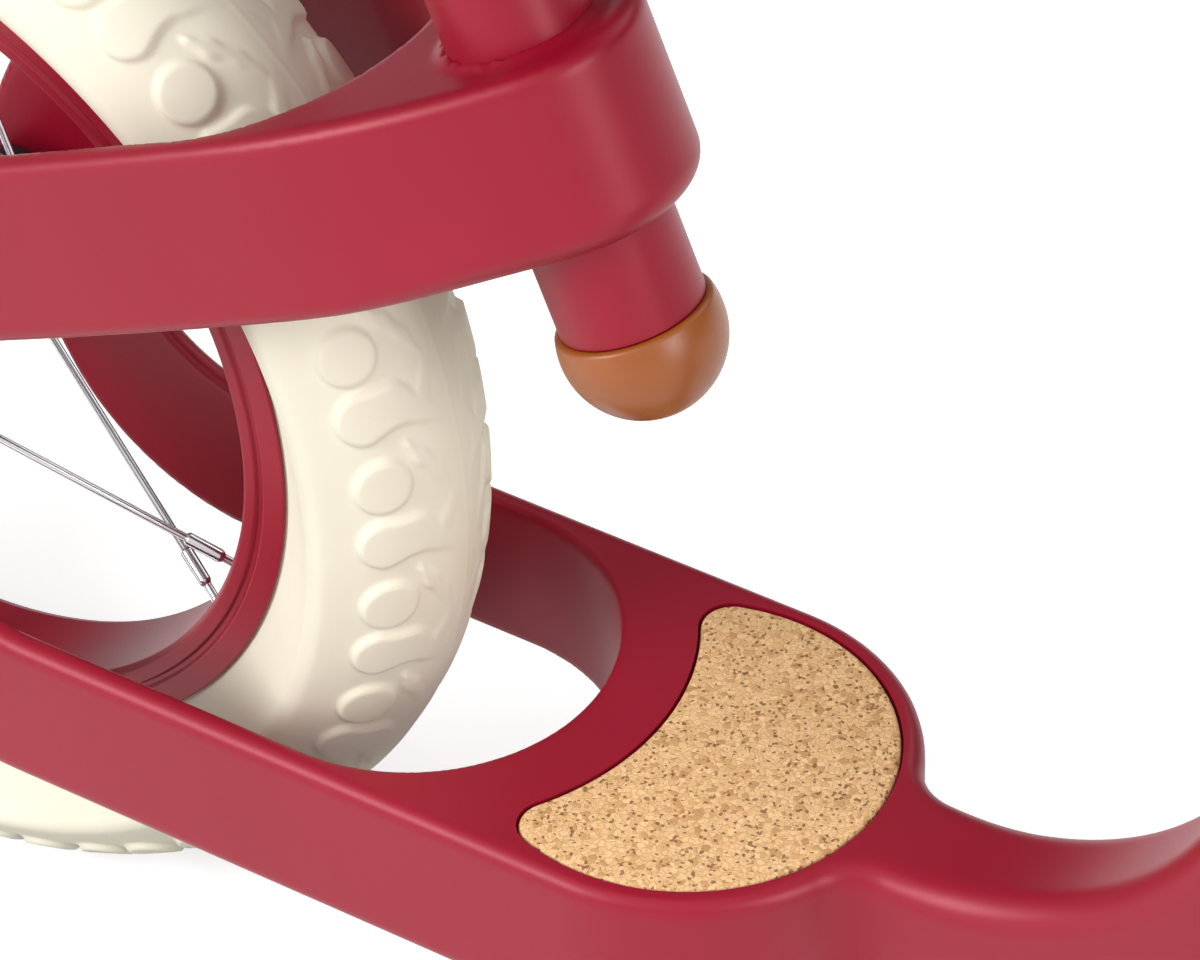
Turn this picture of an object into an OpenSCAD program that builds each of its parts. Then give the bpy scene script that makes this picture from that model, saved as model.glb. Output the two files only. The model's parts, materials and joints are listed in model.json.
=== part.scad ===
// Children's balance bike: one-piece cast ribbon frame, footrest with a cork pad, two 12 inch wheels.
// +X is forward, +Y is the rider's left, +Z is up. The origin is on the ground, midway between the axles.

/* [Overall] */
// Distance between the two axles
wheelbase = 580; // [560:1:640]
// Outer diameter of both tyres
tyre_d = 300; // [290:1:310]
// Width of a tyre
tyre_w = 57.8; // [46:0.1:60]
// Diameter of the tyre's bead, where the rim's flange starts
bead_d = 222; // [200:1:230]

/* [Frame] */
// Width across the outside of the two side rails
rail_span = 100.8; // [96:0.1:112]
// Thickness of a side rail
rail_wall = 5.8; // [4:0.1:8]
// Height of a side rail
rail_h = 40; // [32:1:46]
// Top of the side rails below the axle
rail_drop = 40.6; // [36:0.1:46]
// Distance from the rear axle to the middle of the footrest
footrest_x = 205; // [200:1:230]
// Distance from the rear axle to the front end's centre of the wheel slot
slot_x = 134.8; // [134:0.1:140]
// Width of the beam that rises from the footrest to the head tube
beam_w = 30; // [24:1:36]
// Height of the beam where it meets the head tube
beam_end_h = 30; // [26:1:36]
// Radius of the beam's bend, along its upper side
bend_r = 82; // [76:1:100]
// Angle at which the beam rises
beam_angle = 61; // [56:0.5:62]
// Height of the upper loop's band
band_h = 43; // [36:1:48]
// Upward slope of the upper loop
band_angle = 23.5; // [21:0.5:25]
// Radius of the boss that holds the seat tube
boss_r = 25.3; // [23:0.1:28]
// Radius of the round lug at each axle
lug_r = 15.5; // [14:0.5:18]

/* [Footrest pad] */
// Radius of the cork pad's front edge
pad_r = 45.2; // [40:0.1:46]
// Radius of the cork pad's hollow rear edge
pad_hollow_r = 62; // [60:0.5:70]
// Thickness of the cork pad
pad_t = 3; // [2:0.1:5]
// Gap round the cork pad
pad_gap = 0.5; // [0.2:0.1:1]

/* [Seat] */
// Backward lean of the seat tube
seat_lean = 21.75; // [18:0.25:25]
// Distance of the seat tube's axis from the rear axle, square to the tube
seat_offset = 206.9; // [200:0.1:215]
// Outer diameter of the seat tube
seat_tube_d = 31.8; // [30:0.1:34]
// Diameter of the seat post
post_d = 27.2; // [25:0.1:28.6]
// Top of the seat tube, along its axis from the rear axle's level
seat_tube_top = 110; // [105:1:130]
// Travel of the seat post
seat_travel = 50; // [30:1:60]
// Length of the saddle
saddle_l = 205; // [180:1:230]
// Width of the saddle
saddle_w = 128; // [110:1:150]

/* [Steering] */
// Backward lean of the head tube
head_lean = 20; // [17:0.5:23]
// Forward offset of the front axle from the steering axis, at axle level
trail_x = 27; // [20:1:35]
// Outer diameter of the head tube
head_tube_d = 44; // [42:0.5:50]
// Length of the head tube
head_tube_l = 84; // [76:1:100]
// Start of the head tube along the steering axis, from axle level
head_tube_z = 188; // [186:1:200]
// Diameter of the steerer
steerer_d = 28.6; // [25.4:0.1:30]
// Turn of the handlebar each way
steer_limit = 60; // [30:5:90]
// Width of the handlebar
bar_w = 380; // [360:5:460]
// Diameter of the handlebar
bar_d = 22.2; // [20:0.1:24]
// Rise of the handlebar's ends
bar_rise = 58; // [40:1:70]
// Length of a grip
grip_l = 94; // [80:1:110]

/* [Wheels] */
// Number of spoke pairs
spoke_pairs = 6; // [4:1:8]
// Diameter of a spoke
spoke_d = 1.8; // [1.6:0.1:2.4]
// Diameter of the axles
axle_d = 12; // [10:0.1:12]
// Outer diameter of a wheel bearing
bearing_d = 28; // [26:0.5:28]
// Width of a wheel bearing
bearing_w = 8; // [7:0.5:9]

/* [Hidden] */
$fn = 96;
tyre_r = tyre_d / 2;
running_gap = 0.05;
body_gap = 0.35;

// wheel
bead_r = bead_d / 2;
rim_inner_r = bead_r - 12;
rim_half_w = 13;
rim_wall = 1.6;
rim_bed_r = rim_inner_r + 6 + rim_wall;
tyre_wall = 4;
tube_wall = 1.5;
fold_r = 5.2;
side_angle = 45.6;
bead_gap = 0.3;
section_r = tyre_w / 2 + 2.3;
section_c = tyre_r - section_r;
flange_y = 26;
spoke_hole_r = 20;
spoke_stand = 0.9;
flange_r = spoke_hole_r + 2.3;
flange_t = 3;
hub_half_w = flange_y + 7;
rim_hole_y = 3;
spoke_lean = 26;
pair_half_angle = 6.8;
first_pair_angle = -31;
nipple_l = 14;
nipple_r = 2;
bolt_r = 4;
inner_half = rail_span / 2 - rail_wall;
outer_half = rail_span / 2;

// frame, in the rear axle's own frame
rail_top = -rail_drop;
rail_bottom = rail_top - rail_h;
gap_r = rail_drop;
gap_c = [65, 0];
c_low = [59, rail_bottom + 58];
c_low_r = 58;
c_rear = [57, 0];
c_rear_r = 66.8;
c_up = [103.7, -19.8];
c_up_r = 117.5;
c_split = 208;
c_turn = 157;
band_low_q = gap_r + gap_c[0] * -sin(band_angle);
band_high_q = band_low_q + band_h;
neck_r = 12;
loop_front_u = seat_offset - seat_tube_d / 2 - 12.5;
loop_side_start = 26;
loop_shoulder_u = 153;
loop_shoulder_y = outer_half - 7;
beam_h = rail_h;
bend_c = [footrest_x + 55, rail_top + bend_r];
head_r = head_tube_d / 2;
cup_h = 8;
cup_insert = 8;
cup_seat_r = head_r - 5;
cup_bore_r = steerer_d / 2 + 0.8;

// seat, in coordinates along and square to the seat tube
tube_low = -3;
tube_bore_r = post_d / 2 + running_gap;
cap_r = 17.9;
cap_drop = 5.7;
post_low = 14;
post_l = seat_tube_top + 24 - post_low;
collar_h = 24;
collar_low = seat_tube_top - 18;
post_top = post_low + post_l;
ear_half = 9;
lever_pin_r = 2;
lever_hub_r = 7.2;
lever_y = ear_half + lever_hub_r + body_gap;

// steering, in coordinates along the steering axis
crown_top = head_tube_z - cup_h - 4;
arch_r = inner_half;
arch_c = crown_top - 14 - arch_r;
leg_w = 28;
fork_axle = [trail_x * cos(head_lean), -trail_x * sin(head_lean)];
stem_low = head_tube_z + head_tube_l + cup_h + 5;
stem_h = 34;
clamp_x = 34;
clamp_z = stem_low + stem_h / 2;
bar_r = bar_d / 2;
bend_swell = 0.15;
grip_r = 15.5;

crimson = [0.66, 0.17, 0.25];
cream = [0.93, 0.91, 0.85];
caramel = [0.69, 0.42, 0.17];
cork = [0.80, 0.64, 0.44];
steel = [0.76, 0.77, 0.79];
black = [0.10, 0.10, 0.11];

// points of an arc from angle a to angle b about c
function arc(c, r, a, b, n = 16) = [for (i = [0:n]) let (t = a + (b - a) * i / n) c + r * [cos(t), sin(t)]];

// outline round two circles of different sizes and their common tangents
function strap(p, pr, q, qr) =
    let (d = q - p, a = atan2(d[1], d[0]), b = acos((pr - qr) / norm(d)))
    concat(arc(p, pr, a + b, a + 360 - b), arc(q, qr, a - b, a + b));

module rear_axle_frame() translate([-wheelbase / 2, 0, tyre_r]) children();
module front_axle_frame() translate([wheelbase / 2, 0, tyre_r]) children();
module seat_frame() rear_axle_frame() rotate([0, -seat_lean, 0]) translate([seat_offset, 0, 0]) children();
module steering_frame()
    front_axle_frame() translate([-trail_x, 0, 0]) rotate([0, -head_lean, 0]) children();

// plate drawn in x and z, as wide as w along y
module across(w) rotate([90, 0, 0]) linear_extrude(height = w, center = true) children();
// cylinder along y from y0 to y1
module y_rod(r, y0, y1) translate([0, y0, 0]) rotate([-90, 0, 0]) cylinder(r = r, h = y1 - y0);
// the same shape on both sides
module both_sides() {
    children();
    mirror([0, 1, 0]) children();
}
// cylinder from point p to point q
module rod(p, q, r) {
    d = q - p;
    translate(p) rotate([0, acos(d[2] / norm(d)), atan2(d[1], d[0])]) cylinder(r = r, h = norm(d));
}

// ---- frame ----

// side view of the rails, the bend behind the rear axle, the upper band and the beam
module side_outline() {
    reach = seat_offset + boss_r + 8;
    slope = [cos(band_angle), sin(band_angle)];
    rise = [-sin(band_angle), cos(band_angle)];
    polygon(concat(
        beam_end(),
        arc(bend_c, bend_r + beam_h, beam_angle - 90, -90),
        arc(c_low, c_low_r, 270, c_split),
        arc(c_rear, c_rear_r, c_split, c_turn),
        arc(c_up, c_up_r, c_turn, 90 + band_angle),
        [slope * reach + rise * band_high_q, slope * reach + rise * band_low_q],
        arc(gap_c, gap_r, 90 + band_angle, 270),
        arc(bend_c, bend_r, -90, beam_angle - 90)));
    circle(r = lug_r);
}

// the beam's upper and lower corner on the steering axis
function beam_end() =
    let (
        along = [cos(beam_angle), sin(beam_angle)],
        out = [sin(beam_angle), -cos(beam_angle)],
        start = bend_c + out * (bend_r + beam_h / 2),
        axis = [-sin(head_lean), cos(head_lean)],
        d = [wheelbase - trail_x, 0] - start,
        run = (d[0] * axis[1] - d[1] * axis[0]) / (along[0] * axis[1] - along[1] * axis[0]))
    [for (s = [-1, 1]) start + along * run + out * (s * beam_end_h / 2)];

// plan of the rails, the footrest, the neck and the beam, with the slot that the wheel turns in
module footrest_plan() {
    side = beam_w / 2 + neck_r;
    neck_x = footrest_x + sqrt(pow(outer_half + neck_r, 2) - side * side);
    neck = asin(side / (outer_half + neck_r));
    half = concat(
        [[-100, outer_half]],
        arc([footrest_x, 0], outer_half, 90, neck, 24),
        arc([neck_x, side], neck_r, 180 + neck, 270, 8),
        [[wheelbase, beam_w / 2]]);
    difference() {
        polygon(both_ways(half));
        polygon(concat([[-101, -inner_half]], arc([slot_x, 0], inner_half, -90, 90, 32), [[-101, inner_half]]));
    }
}

// half width of the upper loop where it meets the seat tube's boss, as an arc that ends on the boss
function shoulder_r() =
    let (
        a = shoulder_angle(),
        du = loop_shoulder_u - seat_offset,
        dy = loop_shoulder_y)
    (du * du + dy * dy - boss_r * boss_r) / (2 * (dy * cos(a) + du * sin(a) - boss_r));
function shoulder_angle() = 2 * atan((outer_half - loop_shoulder_y) / (loop_shoulder_u - loop_side_start));

function loop_front_angle() =
    let (
        a = shoulder_angle(),
        front_c = [loop_shoulder_u, loop_shoulder_y] - shoulder_r() * [sin(a), cos(a)])
    atan2(-front_c[1], seat_offset - front_c[0]);

// one side of the upper loop's outline, from the rear to the boss
function loop_side(inset) =
    let (
        a = shoulder_angle(),
        side_r = (loop_shoulder_u - loop_side_start) / sin(a),
        side_c = [loop_side_start, outer_half - side_r],
        front_r = shoulder_r(),
        front_c = [loop_shoulder_u, loop_shoulder_y] - front_r * [sin(a), cos(a)])
    concat(
        [[-100, outer_half - inset]],
        arc(side_c, side_r - inset, 90, 90 - a),
        arc(front_c, front_r - inset, 90 - a, loop_front_angle()));

// plan of the upper loop, square to the seat tube
module loop_plan() {
    side = loop_side(0);
    hole_r = loop_shoulder_y - rail_wall + 1.8;
    hole_c = loop_front_u - hole_r;
    inner = concat([for (p = loop_side(rail_wall)) if (p[0] < hole_c - 8) p], arc([hole_c, 0], hole_r, 86, 0, 24));
    nose = arc([seat_offset, 0], boss_r, loop_front_angle(), 0, 16);
    difference() {
        polygon(both_ways(concat(side, nose)));
        polygon(both_ways(concat([[-101, inner_half]], inner)));
    }
}
// an outline's half with its mirror image below the middle line
function both_ways(half) = concat(half, [for (i = [len(half) - 1:-1:0]) [half[i][0], -half[i][1]]]);

// crescent of the footrest pad, grown by g
module pad_plan(g) {
    tip_r = 7 + g;
    outer_r = pad_r + g;
    hollow_r = pad_hollow_r - g;
    x = (pow(hollow_r + tip_r, 2) - pow(outer_r - tip_r, 2) - slot_x * slot_x + footrest_x * footrest_x)
        / (2 * (footrest_x - slot_x));
    y = sqrt(pow(outer_r - tip_r, 2) - pow(x - footrest_x, 2));
    front = atan2(y, x - footrest_x);
    rear = atan2(y, x - slot_x);
    polygon(concat(
        arc([footrest_x, 0], outer_r, -front, front, 32),
        arc([x, y], tip_r, front, 180 + rear, 8),
        arc([slot_x, 0], hollow_r, rear, -rear, 32),
        arc([x, -y], tip_r, 180 - rear, 360 - front, 8)));
}

// everything that is lower than the lug at the axle, and everything ahead of the seat tube's boss
module lower_part() {
    split = -lug_r - 5;
    front = seat_offset + boss_r + 10;
    far = wheelbase + 100;
    across(8 * outer_half) polygon([
        [-200, split], [front - 30, split], [front, tyre_r / 2], [front + 60, 400], [far, 400], [far, -200],
        [-200, -200]]);
}

module frame() color(crimson) {
    difference() {
        union() {
            rear_axle_frame() intersection() {
                across(4 * outer_half) side_outline();
                union() {
                    intersection() {
                        translate([0, 0, -150]) linear_extrude(height = 500) footrest_plan();
                        lower_part();
                    }
                    difference() {
                        rotate([0, -seat_lean, 0]) translate([0, 0, -150]) linear_extrude(height = 400)
                            loop_plan();
                        lower_part();
                    }
                }
            }
            steering_frame() translate([0, 0, head_tube_z]) cylinder(r = head_r, h = head_tube_l);
        }
        rear_axle_frame() y_rod(bolt_r + 0.2, -outer_half - 1, outer_half + 1);
        rear_axle_frame() translate([0, 0, rail_top - pad_t]) linear_extrude(height = pad_t + 1)
            pad_plan(pad_gap);
        seat_frame() translate([0, 0, -20]) cylinder(d = seat_tube_d, h = 160);
        steering_frame() {
            translate([0, 0, head_tube_z - 30]) cylinder(r = cup_seat_r, h = 30 + cup_insert);
            translate([0, 0, head_tube_z - 1]) cylinder(r = cup_seat_r - 1.5, h = head_tube_l + 2);
            translate([0, 0, head_tube_z + head_tube_l - cup_insert])
                cylinder(r = cup_seat_r, h = cup_insert + 1);
        }
        steering_frame() translate([-60, -60, head_tube_z - 60]) cube([120, 120, 60]);
    }
}

module footrest_pad() color(cork)
    rear_axle_frame() translate([0, 0, rail_top - pad_t]) linear_extrude(height = pad_t) pad_plan(0);

// ---- seat ----

module seat_tube() color(crimson) seat_frame() translate([0, 0, tube_low])
    difference() {
        cylinder(d = seat_tube_d, h = seat_tube_top - tube_low);
        translate([0, 0, -1]) cylinder(r = tube_bore_r, h = seat_tube_top - tube_low + 2);
        translate([-20, -1, seat_tube_top - tube_low - 20]) cube([20, 2, 30]);
    }

module seat_tube_end_cap() color(caramel) seat_frame() {
    intersection() {
        translate([0, 0, tube_low - cap_drop]) sphere(r = cap_r);
        translate([0, 0, tube_low - 40]) cylinder(r = cap_r + 1, h = 40);
    }
    translate([0, 0, tube_low]) cylinder(r = tube_bore_r, h = 12);
}

module seat_collar() color(black) seat_frame() translate([0, 0, collar_low])
    difference() {
        union() {
            cylinder(d = seat_tube_d + 7, h = collar_h - 6);
            translate([-32, -ear_half, 2]) cube([20, 2 * ear_half, collar_h - 10]);
        }
        translate([0, 0, -1]) cylinder(d = seat_tube_d, h = collar_h);
        translate([-40, -1.5, -1]) cube([40, 3, collar_h]);
        translate([-26, 0, 9]) y_rod(3, -20, 20);
    }

module collar_frame() seat_frame() translate([-26, 0, collar_low + 9]) children();
module lever_frame() collar_frame() translate([0, lever_y, 0]) children();

module collar_bolt() color(steel) collar_frame() difference() {
    y_rod(2.9, -14, lever_y + 3.4);
    translate([0, lever_y, -8]) cylinder(r = lever_pin_r, h = 16);
}
module collar_nut() color(steel) collar_frame() difference() {
    y_rod(6.5, -ear_half - 7, -ear_half);
    y_rod(2.9, -ear_half - 8, -ear_half + 1);
}
module lever_pin() color(steel) lever_frame() translate([0, 0, -8]) cylinder(r = lever_pin_r, h = 16);
module quick_release_lever() color(black) lever_frame() difference() {
    union() {
        translate([0, 0, -7.5]) cylinder(r = lever_hub_r, h = 15);
        translate([0, 0, -6]) linear_extrude(height = 12) polygon(strap([0, 3], 4, [42, 19], 3.4));
    }
    translate([0, 0, -9]) cylinder(r = lever_pin_r + running_gap, h = 18);
    translate([-9, -9, -3.6]) cube([14.2, 18.2, 7.2]);
}

module seat_post() color(black) seat_frame() translate([0, 0, post_low]) difference() {
    cylinder(d = post_d, h = post_l);
    translate([0, 0, -1]) cylinder(d = post_d - 4.4, h = post_l - 6);
}

// saddle parts sit level, on top of the post
module saddle_frame() seat_frame() translate([0, 0, post_top]) rotate([0, seat_lean, 0]) children();

function saddle_outline(inset) =
    let (nose_r = 21, tail_r = saddle_w / 2, nose = [saddle_l * 0.6 - nose_r, 0], tail = [-saddle_l * 0.4 + 48, 0])
    concat(
        arc(nose, nose_r - inset, -80, 80, 12),
        arc([nose[0] - 46, 110], 110 - 28 + inset, -76, -124, 8),
        arc([tail[0] + 2, 27], 37 - inset, 72, 182, 8),
        arc([tail[0] + 2, -27], 37 - inset, 178, 288, 8),
        arc([nose[0] - 46, -110], 110 - 28 + inset, 124, 76, 8));

module saddle_base() color(black) saddle_frame() translate([0, 0, 16])
    linear_extrude(height = 6) polygon(saddle_outline(2));
module saddle_cushion() color(caramel) saddle_frame() translate([0, 0, 22])
    linear_extrude(height = 25) polygon(saddle_outline(0));
module saddle_clamp() color(black) saddle_frame() difference() {
    union() {
        rotate([0, -seat_lean, 0]) translate([0, 0, -20]) cylinder(r = 15.8, h = 26);
        translate([-24, -16, 4]) cube([46, 32, 12]);
    }
    rotate([0, -seat_lean, 0]) translate([0, 0, -21]) cylinder(d = post_d, h = 21);
    translate([0, 0, 10]) y_rod(3.2, -30, 30);
}
module saddle_bolt() color(steel) saddle_frame() translate([0, 0, 10]) {
    y_rod(3.1, -16.5, 16.5);
    y_rod(5.5, 16, 20);
    y_rod(5.5, -20, -16);
}

// ---- steering ----

module headset_cup(upper) {
    z = upper ? head_tube_z + head_tube_l : head_tube_z;
    color(black) steering_frame() translate([0, 0, z]) mirror([0, 0, upper ? 1 : 0]) difference() {
        union() {
            cylinder(r = cup_seat_r, h = cup_insert);
            translate([0, 0, -cup_h]) cylinder(r = head_r - 0.4, h = cup_h);
        }
        translate([0, 0, -cup_h - 1]) cylinder(r = cup_bore_r, h = cup_h + cup_insert + 2);
        translate([0, 0, -cup_h - 1]) cylinder(r = cup_seat_r + 2, h = cup_h);
    }
}
module headset_bearing(upper) {
    z = upper ? head_tube_z + head_tube_l + 1 : head_tube_z - 7.4;
    color(steel) steering_frame() translate([0, 0, z]) difference() {
        cylinder(r = cup_seat_r + 2, h = 6.4);
        translate([0, 0, -1]) cylinder(r = steerer_d / 2 + running_gap, h = 9);
    }
}
module headset_lower_cup() headset_cup(false);
module headset_upper_cup() headset_cup(true);
module headset_lower_bearing() headset_bearing(false);
module headset_upper_bearing() headset_bearing(true);

module fork() color(crimson) steering_frame() difference() {
    union() {
        intersection() {
            across(4 * outer_half) union() {
                polygon(strap([0, arch_c], leg_w / 2 + 2, fork_axle, lug_r - 2));
                translate([-leg_w / 2 - 2, arch_c]) square([leg_w + 4, crown_top - arch_c]);
            }
            rotate([90, 0, 90]) linear_extrude(height = 200, center = true) difference() {
                union() {
                    translate([-outer_half, -60]) square([2 * outer_half, arch_c + 60]);
                    translate([0, arch_c]) circle(r = outer_half);
                }
                translate([-inner_half, -61]) square([2 * inner_half, arch_c + 61]);
                translate([0, arch_c]) circle(r = arch_r);
            }
        }
        translate([0, 0, arch_c + arch_r + 3]) cylinder(r = leg_w / 2 + 4, h = crown_top - arch_c - arch_r - 3);
    }
    translate([fork_axle[0], 0, fork_axle[1]]) y_rod(bolt_r + 0.2, -outer_half - 1, outer_half + 1);
    translate([0, 0, arch_c + arch_r + 2]) cylinder(d = steerer_d, h = 60);
}

module steerer_tube() color(steel) steering_frame() translate([0, 0, arch_c + arch_r + 2]) difference() {
    cylinder(d = steerer_d, h = stem_low + stem_h - arch_c - arch_r - 2 - 2);
    translate([0, 0, 3]) cylinder(d = steerer_d - 4, h = 300);
}
module steerer_ring(r, z0, z1) steering_frame() translate([0, 0, z0]) difference() {
    cylinder(r = r, h = z1 - z0);
    translate([0, 0, -1]) cylinder(d = steerer_d, h = z1 - z0 + 2);
}
module crown_race() color(steel) steerer_ring(head_r - 3, crown_top, head_tube_z - cup_h - body_gap);
module headset_cover() color(black) steerer_ring(head_r - 0.4, head_tube_z + head_tube_l + cup_h + body_gap, stem_low - 2);
module steerer_spacer() color(steel) steerer_ring(18, stem_low - 2, stem_low);
module stem() color(black) steering_frame() translate([0, 0, stem_low]) difference() {
    union() {
        cylinder(r = steerer_d / 2 + 4, h = stem_h);
        translate([0, 0, stem_h / 2]) translate([0, -13, -13]) cube([clamp_x - 1, 26, 26]);
        translate([clamp_x, 0, stem_h / 2]) intersection() {
            y_rod(bar_r + 5, -20, 20);
            translate([-40, -21, -20]) cube([39.2, 42, 40]);
        }
        translate([clamp_x - 12, -20, 1]) cube([11.2, 40, stem_h - 2]);
    }
    translate([0, 0, -1]) cylinder(d = steerer_d, h = stem_h + 2);
    translate([clamp_x, 0, stem_h / 2]) y_rod(bar_r, -30, 30);
    bolt_places() rotate([0, 90, 0]) translate([0, 0, -20]) cylinder(r = 2.5, h = 40);
}
module bolt_places() for (y = [-1, 1], z = [-1, 1])
    translate([clamp_x, y * 14.5, stem_h / 2 + z * 14]) children();
module stem_faceplate() color(black) steering_frame() translate([0, 0, stem_low]) difference() {
    union() {
        translate([clamp_x, 0, stem_h / 2]) intersection() {
            y_rod(bar_r + 5, -20, 20);
            translate([0.8, -21, -20]) cube([40, 42, 40]);
        }
        translate([clamp_x + 0.8, -20, 1]) cube([6, 40, stem_h - 2]);
    }
    translate([clamp_x, 0, stem_h / 2]) y_rod(bar_r, -30, 30);
    bolt_places() rotate([0, 90, 0]) {
        translate([0, 0, -20]) cylinder(r = 2.5, h = 40);
        translate([0, 0, 6.8]) cylinder(r = 4.8, h = 20);
    }
}
module stem_bolts() color(steel) steering_frame() translate([0, 0, stem_low]) bolt_places() {
    rotate([0, 90, 0]) translate([0, 0, -12]) cylinder(r = 2.5, h = 18.8);
    rotate([0, 90, 0]) translate([0, 0, 6.8]) difference() {
        cylinder(r = 4.2, h = 4);
        translate([0, 0, 1.5]) cylinder(d = 5, h = 4, $fn = 6);
    }
}
module top_cap() color(black) steering_frame() translate([0, 0, stem_low + stem_h]) difference() {
    cylinder(r = steerer_d / 2 + 4, h = 4);
    translate([0, 0, -1]) cylinder(r = 3.2, h = 6);
}
module top_cap_bolt() color(steel) steering_frame() translate([0, 0, stem_low + stem_h]) {
    translate([0, 0, -24]) cylinder(r = 3.1, h = 28);
    translate([0, 0, 4]) cylinder(r = 5, h = 3);
}

// handlebar, from the clamp out to the left end
bar_low = [0, 42, 0];
bar_bend = [-6, bar_w / 2 - grip_l - 16, bar_rise];
bar_end = [-14, bar_w / 2, bar_rise];
module bar_frame() steering_frame() translate([clamp_x, 0, clamp_z]) children();
module handlebar() color(black) bar_frame() difference() {
    union() {
        y_rod(bar_r, -bar_low[1], bar_low[1]);
        both_sides() {
            rod(bar_low, bar_bend, bar_r);
            rod(bar_bend, bar_end, bar_r);
            translate(bar_low) sphere(r = bar_r + bend_swell);
            translate(bar_bend) sphere(r = bar_r + bend_swell);
        }
    }
    both_sides() rod(bar_bend, bar_end + (bar_end - bar_bend) * 0.1, bar_r - 1.8);
}
module left_grip() color(caramel) bar_frame() {
    way = (bar_end - bar_bend) / norm(bar_end - bar_bend);
    difference() {
        union() {
            rod(bar_end - way * grip_l, bar_end + way * 2, grip_r);
            rod(bar_end - way * grip_l, bar_end - way * (grip_l - 5), grip_r + 4);
            rod(bar_end + way, bar_end + way * 5, grip_r + 2);
        }
        rod(bar_end - way * (grip_l + 1), bar_end, bar_r);
    }
}
module right_grip() mirror([0, 1, 0]) left_grip();

// ---- wheels ----

module ring(r0, r1, y0, y1) rotate([90, 0, 0]) translate([0, 0, -y1]) difference() {
    cylinder(r = r1, h = y1 - y0);
    translate([0, 0, -1]) cylinder(r = r0, h = y1 - y0 + 2);
}
// turns a section drawn in radius and width about the axle
module spun() rotate([90, 0, 0]) rotate_extrude() children();

// centre of the arc that joins the tyre's straight side to its round tread
function tyre_fold() =
    let (
        along = [cos(side_angle), sin(side_angle)],
        foot = [bead_r + bead_gap - section_c, rim_half_w - rim_wall / 2 - bead_gap],
        p = foot + fold_r * [sin(side_angle), -cos(side_angle)],
        m = p * along)
    p + along * (sqrt(m * m + pow(section_r - fold_r, 2) - p * p) - m) + [section_c, 0];

// half of a tyre section's outline, from the bead to the tread's middle, set in by t
function tyre_side(t) =
    let (k = tyre_fold(), turn = atan2(k[1], k[0] - section_c))
    concat(arc(k, fold_r - t, 90 + side_angle, turn, 8), arc([section_c, 0], section_r - t, turn, 0, 20));

module tyre() color(cream) spun() difference() {
    foot_y = rim_half_w - rim_wall / 2 - bead_gap;
    polygon(both_ways(concat([[rim_bed_r + bead_gap, foot_y], [bead_r + bead_gap, foot_y]], tyre_side(0))));
    polygon(both_ways(concat([[0, foot_y - tyre_wall], [bead_r + tyre_wall, foot_y - tyre_wall]],
        tyre_side(tyre_wall))));
}
module inner_tube() color(black) {
    tube_r = (tyre_r - 2 * tyre_wall - bead_r - 2) / 2;
    tube_c = tyre_r - tyre_wall - 0.4 - tube_r;
    spun() difference() {
        translate([tube_c, 0]) circle(r = tube_r);
        translate([tube_c, 0]) circle(r = tube_r - tube_wall);
    }
    rotate([0, -90, 0]) translate([0, 0, rim_inner_r - 16]) cylinder(r = 3, h = tube_c - tube_r - rim_inner_r + 16.5);
}
module valve_cap() color(black) rotate([0, -90, 0]) translate([0, 0, rim_inner_r - 26]) cylinder(r = 3.6, h = 10);

// box-section rim: inner bridge, two side walls, and the flanges that hold the tyre
module rim() color(crimson) difference() {
    union() {
        spun() {
            translate([rim_inner_r, -rim_half_w + 2]) square([rim_wall, 2 * rim_half_w - 4]);
            for (s = [-1, 1]) {
                translate([rim_inner_r, s * (rim_half_w - 2 - rim_wall / 2) - rim_wall / 2])
                    square([5.5, rim_wall]);
                translate([rim_inner_r + 4, s * (rim_half_w - 1.3) - 1.3]) square([rim_wall, 2.6]);
                translate([rim_inner_r + 4, s * (rim_half_w - rim_wall / 4) - rim_wall / 4])
                    square([bead_r - rim_inner_r - 4, rim_wall / 2]);
            }
            translate([rim_bed_r - rim_wall, -rim_half_w + 0.4]) square([rim_wall, 2 * rim_half_w - 0.8]);
        }
    }
    each_spoke() rod(spoke_at(nipple_l - 2), spoke_at(nipple_l + 4), nipple_r + 0.2);
    rotate([0, -90, 0]) cylinder(r = 3.3, h = bead_r);
}

// where a spoke leaves the hub flange and where it enters the rim; side is -1 on the right
function hub_point(side, turn) =
    let (a = turn - side * spoke_lean)
    [spoke_hole_r * cos(a), side * (flange_y + flange_t / 2 + spoke_d / 2 + spoke_stand), spoke_hole_r * sin(a)];
function rim_point(side, turn) = [rim_inner_r * cos(turn), side * rim_hole_y, rim_inner_r * sin(turn)];
module each_spoke() for (k = [0:spoke_pairs - 1], $side = [-1, 1]) {
    $turn = first_pair_angle + 360 / spoke_pairs * k - $side * pair_half_angle;
    children();
}
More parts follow.
